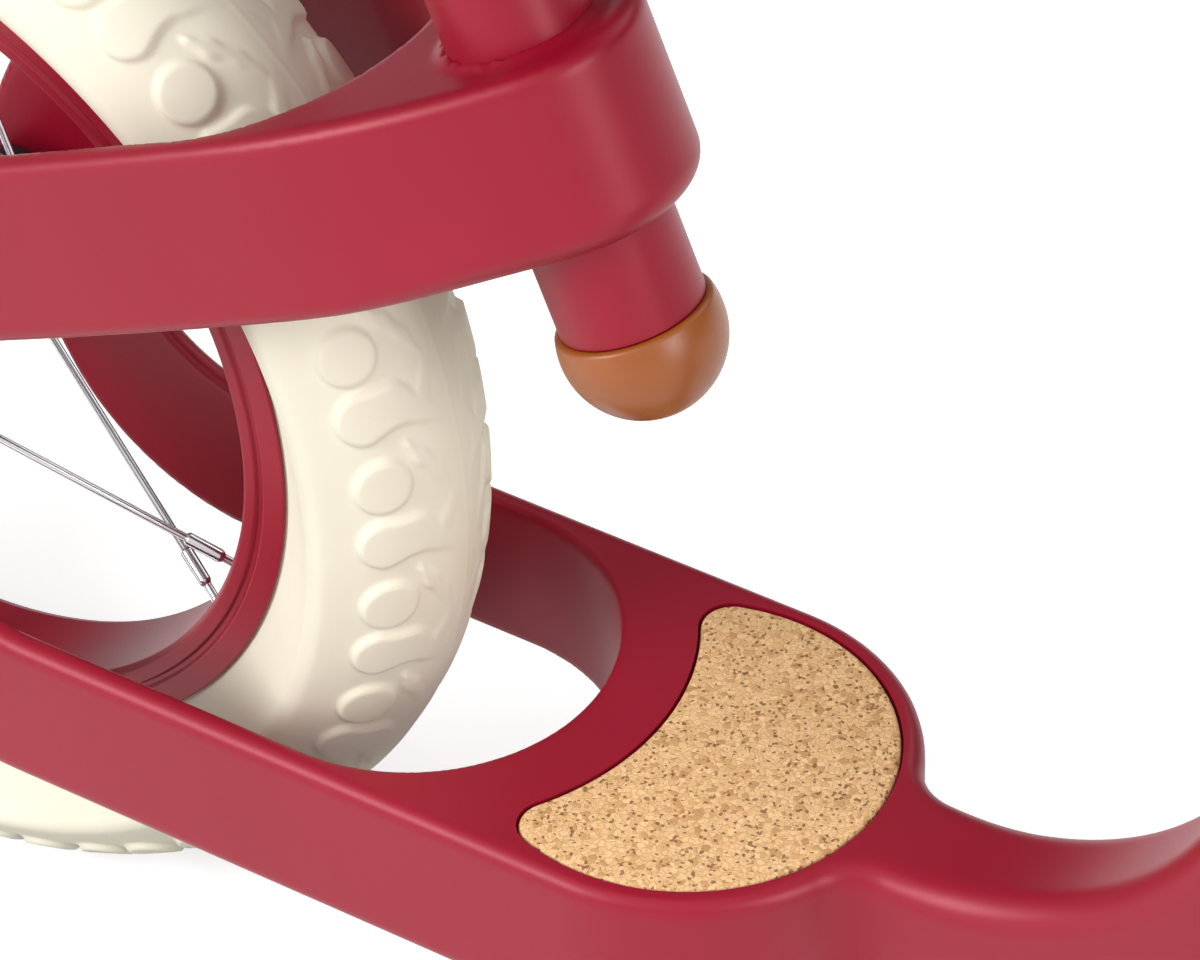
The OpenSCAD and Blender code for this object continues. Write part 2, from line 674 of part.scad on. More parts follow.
// point on the current spoke's line, d outward from where the nipple starts
function spoke_at(d) =
    let (p = hub_point($side, $turn), e = rim_point($side, $turn))
    e + (e - p) / norm(e - p) * (d - nipple_l);
module spokes() color(steel) each_spoke() {
    p = hub_point($side, $turn);
    rod(p, spoke_at(nipple_l - 2), spoke_d / 2);
    translate(p) sphere(r = spoke_d / 2);
    rod(p, [p[0], $side * (flange_y - flange_t / 2 - 1), p[2]], spoke_d / 2);
}
module nipples() color(steel) each_spoke() difference() {
    union() {
        rod(spoke_at(0), spoke_at(nipple_l + 3.2), nipple_r);
        rod(spoke_at(nipple_l + 3), spoke_at(nipple_l + 4.6), nipple_r + 1);
    }
    rod(spoke_at(-1), spoke_at(nipple_l - 2), spoke_d / 2);
}
module hub() color(black) difference() {
    union() {
        y_rod(bearing_d / 2 + 3, -hub_half_w, hub_half_w);
        for (s = [-1, 1]) ring(0.5, flange_r, s * flange_y - flange_t / 2, s * flange_y + flange_t / 2);
    }
    y_rod(bearing_d / 2 - 3, -hub_half_w - 1, hub_half_w + 1);
    for (s = [-1, 1]) ring(0, bearing_d / 2, s * (hub_half_w - bearing_w / 2) - bearing_w / 2 - 0.01,
        s * (hub_half_w - bearing_w / 2) + bearing_w / 2 + 0.01);
    each_spoke() {
        p = hub_point($side, $turn);
        rod([p[0], $side * (flange_y - 4), p[2]], [p[0], $side * (flange_y + 4), p[2]], spoke_d / 2 + 0.1);
    }
}
module bearings() color(steel) for (s = [-1, 1])
    ring(axle_d / 2 + running_gap, bearing_d / 2, s * (hub_half_w - bearing_w / 2) - bearing_w / 2,
        s * (hub_half_w - bearing_w / 2) + bearing_w / 2);
module axle() color(steel) ring(bolt_r, axle_d / 2, -inner_half, inner_half);
module spacers() color(black) for (s = [0, 1]) mirror([0, s, 0])
    ring(axle_d / 2, axle_d / 2 + 3, hub_half_w + body_gap, inner_half);
module axle_bolts() color(steel) both_sides() {
    y_rod(bolt_r, inner_half - 22, outer_half + 1.6);
    intersection() {
        translate([0, outer_half + 1.6 - 6, 0]) sphere(r = 11);
        translate([0, outer_half + 1.6, 0]) y_rod(10, 0, 10);
    }
}
module washers() color(steel) both_sides() ring(bolt_r, 9.5, outer_half, outer_half + 1.6);

module rear_tyre() rear_axle_frame() tyre();
module rear_inner_tube() rear_axle_frame() inner_tube();
module rear_rim() rear_axle_frame() rim();
module rear_spokes() rear_axle_frame() spokes();
module rear_nipples() rear_axle_frame() nipples();
module rear_hub() rear_axle_frame() hub();
module rear_bearings() rear_axle_frame() bearings();
module rear_axle() rear_axle_frame() axle();
module rear_spacers() rear_axle_frame() spacers();
module rear_axle_bolts() rear_axle_frame() axle_bolts();
module rear_washers() rear_axle_frame() washers();
module rear_valve_cap() rear_axle_frame() valve_cap();
module front_tyre() front_axle_frame() tyre();
module front_inner_tube() front_axle_frame() inner_tube();
module front_rim() front_axle_frame() rim();
module front_spokes() front_axle_frame() spokes();
module front_nipples() front_axle_frame() nipples();
module front_hub() front_axle_frame() hub();
module front_bearings() front_axle_frame() bearings();
module front_axle() front_axle_frame() axle();
module front_spacers() front_axle_frame() spacers();
module front_axle_bolts() front_axle_frame() axle_bolts();
module front_washers() front_axle_frame() washers();
module front_valve_cap() front_axle_frame() valve_cap();

frame();
footrest_pad();
seat_tube();
seat_tube_end_cap();
seat_collar();
collar_bolt();
collar_nut();
quick_release_lever();
lever_pin();
seat_post();
saddle_base();
saddle_cushion();
saddle_clamp();
saddle_bolt();
headset_lower_cup();
headset_upper_cup();
headset_lower_bearing();
headset_upper_bearing();
fork();
steerer_tube();
crown_race();
headset_cover();
steerer_spacer();
stem();
stem_bolts();
stem_faceplate();
top_cap();
top_cap_bolt();
handlebar();
left_grip();
right_grip();
rear_tyre();
rear_inner_tube();
rear_rim();
rear_spokes();
rear_nipples();
rear_hub();
rear_bearings();
rear_axle();
rear_spacers();
rear_axle_bolts();
rear_washers();
rear_valve_cap();
front_tyre();
front_inner_tube();
front_rim();
front_spokes();
front_nipples();
front_hub();
front_bearings();
front_axle();
front_spacers();
front_axle_bolts();
front_washers();
front_valve_cap();
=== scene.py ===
import json
import math
import bpy
import numpy as np
from mathutils import Matrix, Vector


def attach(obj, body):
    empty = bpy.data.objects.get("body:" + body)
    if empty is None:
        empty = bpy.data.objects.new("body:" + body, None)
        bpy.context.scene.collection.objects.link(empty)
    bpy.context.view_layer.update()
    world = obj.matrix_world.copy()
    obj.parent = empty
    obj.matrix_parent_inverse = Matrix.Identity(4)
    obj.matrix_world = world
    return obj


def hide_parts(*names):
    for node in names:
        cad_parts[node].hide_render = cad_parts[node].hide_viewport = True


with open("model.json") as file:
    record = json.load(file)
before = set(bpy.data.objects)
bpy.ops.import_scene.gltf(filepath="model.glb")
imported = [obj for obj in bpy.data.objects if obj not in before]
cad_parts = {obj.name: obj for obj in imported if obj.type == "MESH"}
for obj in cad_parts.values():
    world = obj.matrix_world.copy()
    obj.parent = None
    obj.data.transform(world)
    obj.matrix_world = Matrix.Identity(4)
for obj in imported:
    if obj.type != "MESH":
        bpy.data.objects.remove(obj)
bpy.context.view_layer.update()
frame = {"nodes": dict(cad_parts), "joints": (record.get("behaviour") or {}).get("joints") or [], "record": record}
nodes = frame["nodes"]
jointPlace = {j["name"]: j.get("pos_m") for j in frame["joints"]}
rearAxle = np.array(jointPlace["rear_wheel_spin"])
frontAxle = np.array(jointPlace["front_wheel_spin"])
wheelbase = (frontAxle[0] - rearAxle[0]) * 1000
print("frame loaded:", len(nodes), "nodes")


# shader tools
class Wire:  # a node's output that can stand in a sum
    def __init__(self, finish, socket):
        self.finish = finish
        self.socket = socket

    def combine(self, operation, first, second):
        return self.finish.node("ShaderNodeMath", {"operation": operation}, {0: first, 1: second})

    def __add__(self, other):
        return self.combine("ADD", self, other)

    def __radd__(self, other):
        return self.combine("ADD", other, self)

    def __sub__(self, other):
        return self.combine("SUBTRACT", self, other)

    def __rsub__(self, other):
        return self.combine("SUBTRACT", other, self)

    def __mul__(self, other):
        return self.combine("MULTIPLY", self, other)

    def __rmul__(self, other):
        return self.combine("MULTIPLY", other, self)


class Wiring:  # makes and joins the nodes of one tree
    def __init__(self, tree):
        self.tree = tree

    def node(self, kind, settings=None, inputs=None, output=0):
        made = self.tree.nodes.new(kind)
        for name, value in (settings or {}).items():
            if name == "stops":
                ramp = made.color_ramp
                while len(ramp.elements) < len(value):
                    ramp.elements.new(0.5)
                for element, (place, colour) in zip(ramp.elements, value):
                    element.position = place
                    element.color = colour if len(colour) == 4 else (*colour, 1)
            else:
                setattr(made, name, value)
        for key, value in (inputs or {}).items():
            self.plug(made.inputs[key], value)
        return Wire(self, made.outputs[output])

    def plug(self, socket, value):
        if isinstance(value, Wire):
            self.tree.links.new(value.socket, socket)
        elif isinstance(value, tuple) and len(value) == 3 and socket.type == "RGBA":
            socket.default_value = (*value, 1)
        else:
            socket.default_value = value


class Finish(Wiring):  # one material and its nodes
    def __init__(self, name, **shader):
        self.material = bpy.data.materials.new(name)
        self.material.use_nodes = True
        super().__init__(self.material.node_tree)
        self.shader = self.tree.nodes["Principled BSDF"]
        self.feed(**shader)

    def feed(self, **values):
        for key, value in values.items():
            self.plug(self.shader.inputs[key.replace("_", " ")], value)

    def place(self):
        return self.node("ShaderNodeTexCoord", output="Object")

    def noise(self, scale, detail=4.0, rough=0.55, where=None):
        return self.node("ShaderNodeTexNoise", {}, {"Vector": where or self.place(), "Scale": scale,
                                                    "Detail": detail, "Roughness": rough}, "Fac")

    def cells(self, scale, feature="F1", output="Distance", where=None):
        return self.node("ShaderNodeTexVoronoi", {"feature": feature},
                         {"Vector": where or self.place(), "Scale": scale}, output)

    def ramp(self, value, stops):
        return self.node("ShaderNodeValToRGB", {"stops": stops}, {"Fac": value}, "Color")

    def spread(self, value, low, high, fromLow=0.3, fromHigh=0.7):  # a value stretched to a new range
        return self.node("ShaderNodeMapRange", {}, {"Value": value, "From Min": fromLow, "From Max": fromHigh,
                                                    "To Min": low, "To Max": high})

    def mix(self, share, first, second):
        return self.node("ShaderNodeMix", {"data_type": "RGBA"}, {0: share, 6: first, 7: second}, 2)

    def bump(self, height, strength, distance):
        self.feed(Normal=self.node("ShaderNodeBump", {}, {"Height": height, "Strength": strength,
                                                          "Distance": distance}))


# finishes, one function for each kind of material
paintLook = {
    "base": (0.305, 0.0016, 0.020),
    "deep": (0.270, 0.0012, 0.016),
    "roughness": (0.38, 0.46),
    "metallic": 0.10,
    "specular": 0.38,
    "coat": 0.04,
    "coatRoughness": 0.34,
    "grain": 1400.0,
    "drift": 9.0,
}


def crimsonPaint(name, look, shade=1.0):
    base = tuple(c * shade for c in look["base"])
    deep = tuple(c * shade for c in look["deep"])
    f = Finish(name, Specular_IOR_Level=look["specular"], Metallic=look["metallic"],
               Coat_Weight=look["coat"], Coat_Roughness=look["coatRoughness"])
    drift = f.noise(look["drift"], 3.0)
    f.feed(Base_Color=f.mix(f.spread(drift, 0.0, 1.0), base, deep))
    grain = f.noise(look["grain"], 2.0)
    f.feed(Roughness=f.spread(grain * 0.5 + drift * 0.5, *look["roughness"]))
    f.bump(grain, 0.05, 0.0002)
    return f.material


creamLook = {"base": (0.83, 0.785, 0.645), "dust": (0.77, 0.715, 0.56), "roughness": (0.52, 0.66)}


def creamRubber(look):
    f = Finish("creamTyre", Specular_IOR_Level=0.35, Subsurface_Weight=0.04, Subsurface_Scale=0.004)
    patches = f.noise(35.0, 5.0)
    fine = f.noise(900.0, 3.0)
    f.feed(Base_Color=f.mix(f.spread(patches, 0.0, 0.55), look["base"], look["dust"]))
    f.feed(Roughness=f.spread(fine, *look["roughness"]))
    f.bump(fine * 0.7 + patches * 0.3, 0.10, 0.0004)
    return f.material


caramelLook = {"base": (0.315, 0.082, 0.007), "deep": (0.26, 0.062, 0.004), "roughness": (0.33, 0.44)}


def caramelRubber(look):
    f = Finish("caramelRubber", Subsurface_Weight=0.05, Subsurface_Scale=0.003, Coat_Weight=0.15,
               Coat_Roughness=0.35)
    clouds = f.noise(60.0, 4.0)
    fine = f.noise(1600.0, 2.0)
    f.feed(Base_Color=f.mix(f.spread(clouds, 0.0, 0.7), look["base"], look["deep"]))
    f.feed(Roughness=f.spread(fine, *look["roughness"]))
    f.bump(fine, 0.06, 0.0002)
    return f.material


corkLook = {
    "pale": (0.88, 0.585, 0.31),
    "mid": (0.76, 0.465, 0.22),
    "dark": (0.50, 0.26, 0.105),
    "speck": (0.20, 0.09, 0.035),
    "granule": 700.0,
    "speckSize": 1500.0,
}


def corkGranules(look):
    f = Finish("corkGranules", Specular_IOR_Level=0.3)
    warp = f.node("ShaderNodeTexNoise", {}, {"Vector": f.place(), "Scale": 330.0, "Detail": 3.0}, "Color")
    bent = f.node("ShaderNodeVectorMath", {"operation": "MULTIPLY_ADD"},
                  {0: warp, 1: (0.0016, 0.0016, 0.0016), 2: f.place()})
    granule = f.cells(look["granule"], "F1", "Color", bent)
    shade = f.node("ShaderNodeSeparateColor", {}, {"Color": granule}, 0)
    tone = f.ramp(shade, [(0.0, look["dark"]), (0.22, look["mid"]), (0.6, look["pale"]), (1.0, look["mid"])])
    fine = f.noise(1500.0, 6.0, 0.7)
    tone = f.mix(f.spread(fine, 0.0, 0.55, 0.42, 0.68), tone, look["dark"])
    seams = f.cells(look["granule"], "DISTANCE_TO_EDGE", "Distance", bent)
    seam = f.spread(seams, 1.0, 0.0, 0.0, 0.09)
    tone = f.mix(seam * 0.5, tone, look["dark"])
    speckle = f.cells(look["speckSize"], "F1", "Color", f.place())
    chance = f.node("ShaderNodeSeparateColor", {}, {"Color": speckle}, 1)
    speck = f.spread(chance, 0.0, 0.85, 0.90, 0.94)
    f.feed(Base_Color=f.mix(speck, tone, look["speck"]), Roughness=f.spread(fine, 0.72, 0.9))
    f.bump(1.0 - seam * 0.6 - speck * 0.5 + fine * 0.5, 0.45, 0.0005)
    return f.material


def leather(name, base, deep):
    f = Finish(name, Specular_IOR_Level=0.42, Coat_Weight=0.08, Coat_Roughness=0.4)
    grain = f.cells(620.0, "DISTANCE_TO_EDGE", "Distance")
    crease = f.spread(grain, 0.0, 1.0, 0.0, 0.12)
    clouds = f.noise(26.0, 5.0)
    pore = f.noise(1500.0, 3.0)
    tone = f.mix(f.spread(clouds, 0.0, 0.8), base, deep)
    # the grain's creases are mixed toward the deep colour: painted shade in the creases
    f.feed(Base_Color=f.mix((1.0 - crease) * 0.4, tone, deep), Roughness=f.spread(pore, 0.42, 0.58))
    f.bump(crease * 0.8 + pore * 0.3, 0.30, 0.0003)
    return f.material


def moulded(name, base, roughness, scale=1300.0, strength=0.12):
    f = Finish(name, Specular_IOR_Level=0.45)
    grain = f.noise(scale, 3.0)
    drift = f.noise(24.0, 4.0)
    pale = tuple(c * 1.35 + 0.004 for c in base)
    f.feed(Base_Color=f.mix(f.spread(drift, 0.0, 0.8), base, pale))
    f.feed(Roughness=f.spread(grain, roughness - 0.06, roughness + 0.08))
    f.bump(grain, strength, 0.0003)
    return f.material


def metal(name, base, roughness, stretch=(1.0, 1.0, 30.0), metallic=1.0):
    f = Finish(name, Metallic=metallic)
    along = f.node("ShaderNodeVectorMath", {"operation": "MULTIPLY"}, {0: f.place(), 1: stretch})
    brush = f.noise(700.0, 3.0, 0.6, along)
    drift = f.noise(30.0, 4.0)
    f.feed(Base_Color=f.mix(f.spread(drift, 0.0, 0.5), base, tuple(c * 0.82 for c in base)))
    f.feed(Roughness=f.spread(brush * 0.6 + drift * 0.4, roughness - 0.05, roughness + 0.09))
    f.bump(brush, 0.06, 0.0001)
    return f.material


finishes = {
    "crimson_paint": crimsonPaint("crimsonPaint", paintLook),
    "crimson_rim": crimsonPaint("crimsonRim", paintLook, 1.0),
    "cream_tyre": creamRubber(creamLook),
    "caramel_rubber": caramelRubber(caramelLook),
    "cork": corkGranules(corkLook),
    "caramel_leather": leather("caramelLeather", (0.40, 0.15, 0.035), (0.27, 0.085, 0.018)),
    "black_rubber": moulded("blackRubber", (0.018, 0.018, 0.019), 0.70),
    "black_plastic": moulded("blackPlastic", (0.020, 0.020, 0.022), 0.48),
    "black_metal": metal("blackMetal", (0.035, 0.035, 0.038), 0.34, metallic=0.55),
    "alloy": metal("machinedAlloy", (0.70, 0.71, 0.73), 0.28),
    "steel": metal("brightSteel", (0.62, 0.63, 0.65), 0.20),
}
print("finishes made:", len(finishes))


# mesh tools: everything below is in millimetres about the rear axle until addPiece places it
def meshOf(name, points, faces, origin):  # millimetre points about an origin in metres
    mesh = bpy.data.meshes.new(name)
    places = np.asarray(points, float) / 1000 + np.array(origin)
    mesh.from_pydata(places.tolist(), [], [list(map(int, face)) for face in faces])
    mesh.validate()
    return mesh


def addPiece(name, points, faces, slotName, body, origin=None, smooth=40.0):
    mesh = meshOf(name, points, faces, rearAxle if origin is None else origin)
    piece = bpy.data.objects.new(name, mesh)
    bpy.context.scene.collection.objects.link(piece)
    mesh.materials.append(finishes[slotName])
    shadeSmooth(mesh, smooth)
    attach(piece, body)
    return piece


def arcPoints(centre, radius, start, end, count=24):
    turn = np.radians(np.linspace(start, end, count + 1))
    return np.column_stack((centre[0] + radius * np.cos(turn), centre[1] + radius * np.sin(turn)))


def roundCorners(points, radii, count=5):  # a closed outline with its corners rounded
    points = np.asarray(points, float)
    radii = np.broadcast_to(radii, len(points))
    out = []
    for i, p in enumerate(points):
        before = points[i - 1] - p
        after = points[(i + 1) % len(points)] - p
        reach = min(np.linalg.norm(before), np.linalg.norm(after)) * 0.45
        before = before / np.linalg.norm(before)
        after = after / np.linalg.norm(after)
        half = math.acos(np.clip(before @ after, -1, 1)) / 2
        if radii[i] < 1e-6 or half > 1.55:
            out.append(p)
            continue
        run = min(radii[i] / math.tan(half), reach)
        a, b = p + before * run, p + after * run
        for t in np.linspace(0, 1, count):
            out.append((1 - t) ** 2 * a + 2 * t * (1 - t) * p + t * t * b)
    return np.array(out)


def lathe(profile, count=96, closed=False):  # a profile of (radius, height) turned about the height axis
    profile = np.asarray(profile, float)
    turn = np.linspace(0, 2 * math.pi, count, endpoint=False)
    rings = len(profile)
    points = np.stack([np.outer(profile[:, 0], np.cos(turn)), np.outer(profile[:, 0], np.sin(turn)),
                       np.repeat(profile[:, 1:2], count, axis=1)], axis=-1).reshape(-1, 3)
    i, j = np.meshgrid(np.arange(rings if closed else rings - 1), np.arange(count), indexing="ij")
    n = (j + 1) % count
    m = (i + 1) % rings
    faces = np.stack([i * count + j, i * count + n, m * count + n, m * count + j], axis=-1).reshape(-1, 4)
    return points, faces


def shadeSmooth(mesh, degrees):  # smooth faces with sharp edges kept where they turn by more than this
    mesh.polygons.foreach_set("use_smooth", [True] * len(mesh.polygons))
    mesh.set_sharp_from_angle(angle=math.radians(degrees))


def tilted(points, along, across, origin):  # local x, z axes and origin in the bike's middle plane
    points = np.asarray(points, float)
    x, z = np.array(across), np.array(along)
    return np.array(origin) + points[:, :1] * x + points[:, 1:2] * np.array([0, 1, 0]) + points[:, 2:3] * z


def smoothStep(low, high, value):
    t = np.clip((value - low) / (high - low), 0, 1)
    return t * t * (3 - 2 * t)


def roundMeet(a, b, radius):  # what two shapes share, with a rounded edge
    u, v = a + radius, b + radius
    return np.sqrt(np.maximum(u, 0) ** 2 + np.maximum(v, 0) ** 2) + np.minimum(np.maximum(u, v), 0) - radius


def softJoin(a, b, reach):  # two shapes together, with a fillet
    h = np.maximum(reach - np.abs(a - b), 0) / reach
    return np.minimum(a, b) - h * h * reach / 4


class Sheet:  # signed distance to a flat outline, kept as a table of steps
    def __init__(self, outline, low, high, step):
        self.low, self.step = np.array(low, float), step
        self.shape = tuple(int(math.ceil((h - l) / step)) + 1 for l, h in zip(low, high))
        x = (self.low[0] + step * np.arange(self.shape[0]))[:, None] + np.zeros(self.shape)
        y = (self.low[1] + step * np.arange(self.shape[1]))[None, :] + np.zeros(self.shape)
        best = np.full(self.shape, 1e12)
        inside = np.zeros(self.shape, bool)
        for a, b in zip(outline, np.roll(outline, -1, axis=0)):
            d = b - a
            size = d @ d
            if size < 1e-12:
                continue
            t = np.clip(((x - a[0]) * d[0] + (y - a[1]) * d[1]) / size, 0, 1)
            best = np.minimum(best, (x - a[0] - t * d[0]) ** 2 + (y - a[1] - t * d[1]) ** 2)
            if a[1] != b[1]:
                span = (a[1] > y[0]) != (b[1] > y[0])
                cut = a[0] + (y[0] - a[1]) * d[0] / d[1]
                inside ^= span[None, :] & (x < cut[None, :])
        self.table = np.where(inside, -1, 1) * np.sqrt(best)

    def at(self, x, y):
        u = np.clip((x - self.low[0]) / self.step, 0, self.shape[0] - 1.001)
        v = np.clip((y - self.low[1]) / self.step, 0, self.shape[1] - 1.001)
        i, j = u.astype(int), v.astype(int)
        u, v = u - i, v - j
        t = self.table
        return ((1 - u) * (1 - v) * t[i, j] + u * (1 - v) * t[i + 1, j] + (1 - u) * v * t[i, j + 1]
                + u * v * t[i + 1, j + 1])


def skin(solid, low, high, step, passes=4, relax=2):  # a smooth mesh where a solid's distance is 0
    low = np.array(low, float)
    counts = [int(math.ceil((h - l) / step)) + 1 for l, h in zip(low, high)]
    field = np.empty(counts, np.float32)
    y, z = np.meshgrid(low[1] + step * np.arange(counts[1]), low[2] + step * np.arange(counts[2]),
                       indexing="ij")
    slab = 16  # layers worked out at a time, to spare memory
    for start in range(0, counts[0], slab):
        x = low[0] + step * np.arange(start, min(start + slab, counts[0]))
        block = np.broadcast_to(x[:, None, None], (len(x),) + y.shape)
        sameY, sameZ = (np.broadcast_to(v, block.shape) for v in (y, z))
        field[start:start + len(x)] = solid(block, sameY, sameZ)
    inside = field < 0
    corner = [(i, j, k) for i in (0, 1) for j in (0, 1) for k in (0, 1)]
    total = sum(inside[i:counts[0] - 1 + i, j:counts[1] - 1 + j, k:counts[2] - 1 + k].astype(np.int8)
                for i, j, k in corner)
    mixed = (total > 0) & (total < 8)
    number = np.full(mixed.shape, -1, np.int64)
    cell = np.argwhere(mixed)
    number[mixed] = np.arange(len(cell))
    place = np.zeros((len(cell), 3))
    hits = np.zeros(len(cell))
    for a in corner:
        for axis in range(3):
            if a[axis]:
                continue
            b = tuple(1 if n == axis else a[n] for n in range(3))
            fa = field[tuple((cell + a).T)].astype(float)
            fb = field[tuple((cell + b).T)].astype(float)
            crosses = (fa < 0) != (fb < 0)
            share = np.where(crosses, fa / np.where(crosses, fa - fb, 1), 0)
            place += np.where(crosses[:, None], np.array(a) + share[:, None] * (np.array(b) - a), 0)
            hits += crosses
    points = low + (cell + place / hits[:, None]) * step
    faces = []
    for axis in range(3):
        one, two = (axis + 1) % 3, (axis + 2) % 3
        near = np.argwhere(np.diff(inside.astype(np.int8), axis=axis) != 0)
        near = near[(near[:, one] > 0) & (near[:, two] > 0) & (near[:, one] < counts[one] - 1)
                    & (near[:, two] < counts[two] - 1)]
        quad = []
        for da, db in ((-1, -1), (0, -1), (0, 0), (-1, 0)):
            at = near.copy()
            at[:, one] += da
            at[:, two] += db
            quad.append(number[tuple(at.T)])
        quad = np.stack(quad, axis=1)
        outward = inside[tuple(near.T)]
        faces.append(np.where(outward[:, None], quad, quad[:, ::-1]))
    faces = np.concatenate(faces)

    def settle(p, times):
        h = 0.04
        for _ in range(times):
            f = solid(*p.T)
            slope = np.stack([(solid(*(p + e).T) - solid(*(p - e).T)) / (2 * h) for e in np.eye(3) * h],
                             axis=1)
            push = f[:, None] * slope / np.maximum((slope ** 2).sum(1, keepdims=True), 0.2)
            p = p - np.clip(push, -step * 0.5, step * 0.5)
        return p

    points = settle(points, passes)
    sides = np.concatenate([faces[:, [n, (n + 1) % 4]] for n in range(4)])
    for _ in range(relax):
        total = np.zeros_like(points)
        count = np.bincount(sides[:, 0], minlength=len(points)).astype(float)
        for axis in range(3):
            total[:, axis] = np.bincount(sides[:, 0], points[sides[:, 1], axis], len(points))
        points = settle(points * 0.5 + 0.5 * total / count[:, None], 1)
    return settle(points, 2), faces


# frame casting
casting = {
    "railSpan": 100.8, "railWall": 5.8, "railTop": -40.6, "railHeight": 40.0, "footrestX": 205.0,
    "slotX": 134.8, "beamWidth": 30.0, "neck": 12.0, "bendRadius": 82.0, "beamAngle": 61.0, "beamEnd": 30.0,
    "bandAngle": 23.5, "bandHeight": 43.0, "gapX": 65.0, "bossRadius": 25.3, "lugRadius": 15.5,
    "seatLean": 21.75, "seatOffset": 206.9, "tubeRadius": 15.9, "shoulderU": 153.0, "shoulderIn": 7.0,
    "sideStart": 26.0, "headLean": 20.0, "trail": 27.0, "headRadius": 22.0, "headStart": 188.0,
    "headLength": 84.0,
    "edge": 3.6, "innerEdge": 1.7, "beamEdge": 7.6, "bossEdge": 7.4, "step": 1.35,
    "bendAhead": 55, "cornerX": 59, "cornerRadius": 58, "rearX": 57, "rearRadius": 66.8, "backX": 103.7,
    "backZ": -19.8, "backRadius": 117.5, "rearLow": 208, "rearHigh": 157,
    "beadRadius": 1.3, "beadFillet": 2.2, "lugFillet": 5, "headFillet": 9, "headWall": 5.5,
}


def beamStart(c):
    along = np.array([math.cos(math.radians(c["beamAngle"])), math.sin(math.radians(c["beamAngle"]))])
    out = np.array([along[1], -along[0]])
    bend = np.array([c["footrestX"] + c["bendAhead"], c["railTop"] + c["bendRadius"]])
    start = bend + out * (c["bendRadius"] + c["railHeight"] / 2)
    lean = math.radians(c["headLean"])
    axis = np.array([-math.sin(lean), math.cos(lean)])
    d = np.array([wheelbase - c["trail"], 0]) - start
    run = (d[0] * axis[1] - d[1] * axis[0]) / (along[0] * axis[1] - along[1] * axis[0])
    end = start + along * run
    return bend, [end + out * s * c["beamEnd"] / 2 for s in (-1, 1)]


def sideOutline(c):
    slope = np.array([math.cos(math.radians(c["bandAngle"])), math.sin(math.radians(c["bandAngle"]))])
    rise = np.array([-slope[1], slope[0]])
    gap = -c["railTop"]
    lowQ = gap - c["gapX"] * slope[1]
    highQ = lowQ + c["bandHeight"]
    reach = c["seatOffset"] + c["bossRadius"] + 8
    bend, ends = beamStart(c)
    bottom = c["railTop"] - c["railHeight"]
    return np.concatenate([
        np.array(ends),
        arcPoints(bend, c["bendRadius"] + c["railHeight"], c["beamAngle"] - 90, -90, 60),
        arcPoints((c["cornerX"], bottom + c["cornerRadius"]), c["cornerRadius"], 270, c["rearLow"], 40),
        arcPoints((c["rearX"], 0), c["rearRadius"], c["rearLow"], c["rearHigh"], 40),
        arcPoints((c["backX"], c["backZ"]), c["backRadius"], c["rearHigh"], 90 + c["bandAngle"], 40),
        [slope * reach + rise * highQ, slope * reach + rise * lowQ],
        arcPoints((c["gapX"], 0), gap, 90 + c["bandAngle"], 270, 60),
        arcPoints(bend, c["bendRadius"], -90, c["beamAngle"] - 90, 60),
    ])


def footOutline(c):
    half = c["railSpan"] / 2
    side = c["beamWidth"] / 2 + c["neck"]
    neckX = c["footrestX"] + math.sqrt((half + c["neck"]) ** 2 - side ** 2)
    neck = math.degrees(math.asin(side / (half + c["neck"])))
    upper = np.concatenate([
        [[-200, half]],
        arcPoints((c["footrestX"], 0), half, 90, neck, 80),
        arcPoints((neckX, side), c["neck"], 180 + neck, 270, 40),
        [[wheelbase + 60, c["beamWidth"] / 2]],
    ])
    return np.concatenate([upper, upper[::-1] * [1, -1]])


def loopSides(c, inset):
    half = c["railSpan"] / 2
    shoulderY = half - c["shoulderIn"]
    angle = 2 * math.atan((half - shoulderY) / (c["shoulderU"] - c["sideStart"]))
    du, dy = c["shoulderU"] - c["seatOffset"], shoulderY
    boss = c["bossRadius"]
    radius = (du * du + dy * dy - boss * boss) / (2 * (dy * math.cos(angle) + du * math.sin(angle) - boss))
    front = np.array([c["shoulderU"], shoulderY]) - radius * np.array([math.sin(angle), math.cos(angle)])
    turn = math.degrees(math.atan2(-front[1], c["seatOffset"] - front[0]))
    sideR = (c["shoulderU"] - c["sideStart"]) / math.sin(angle)
    side = np.array([c["sideStart"], half - sideR])
    degrees = math.degrees(angle)
    path = np.concatenate([
        [[-200, half - inset]],
        arcPoints(side, sideR - inset, 90, 90 - degrees, 40),
        arcPoints(front, radius - inset, 90 - degrees, turn, 60),
    ])
    return path, turn


def loopOutlines(c):
    outer, turn = loopSides(c, 0)
    nose = arcPoints((c["seatOffset"], 0), c["bossRadius"], turn, 0, 40)
    outer = np.concatenate([outer, nose])
    inner, _ = loopSides(c, c["railWall"])
    holeR = c["railSpan"] / 2 - c["shoulderIn"] - c["railWall"] + 1.8
    holeX = c["seatOffset"] - c["tubeRadius"] - 12.5 - holeR
    inner = np.concatenate([inner[inner[:, 0] < holeX - 8], arcPoints((holeX, 0), holeR, 86, 0, 60)])
    return [np.concatenate([half, half[::-1] * [1, -1]]) for half in (outer, inner)]


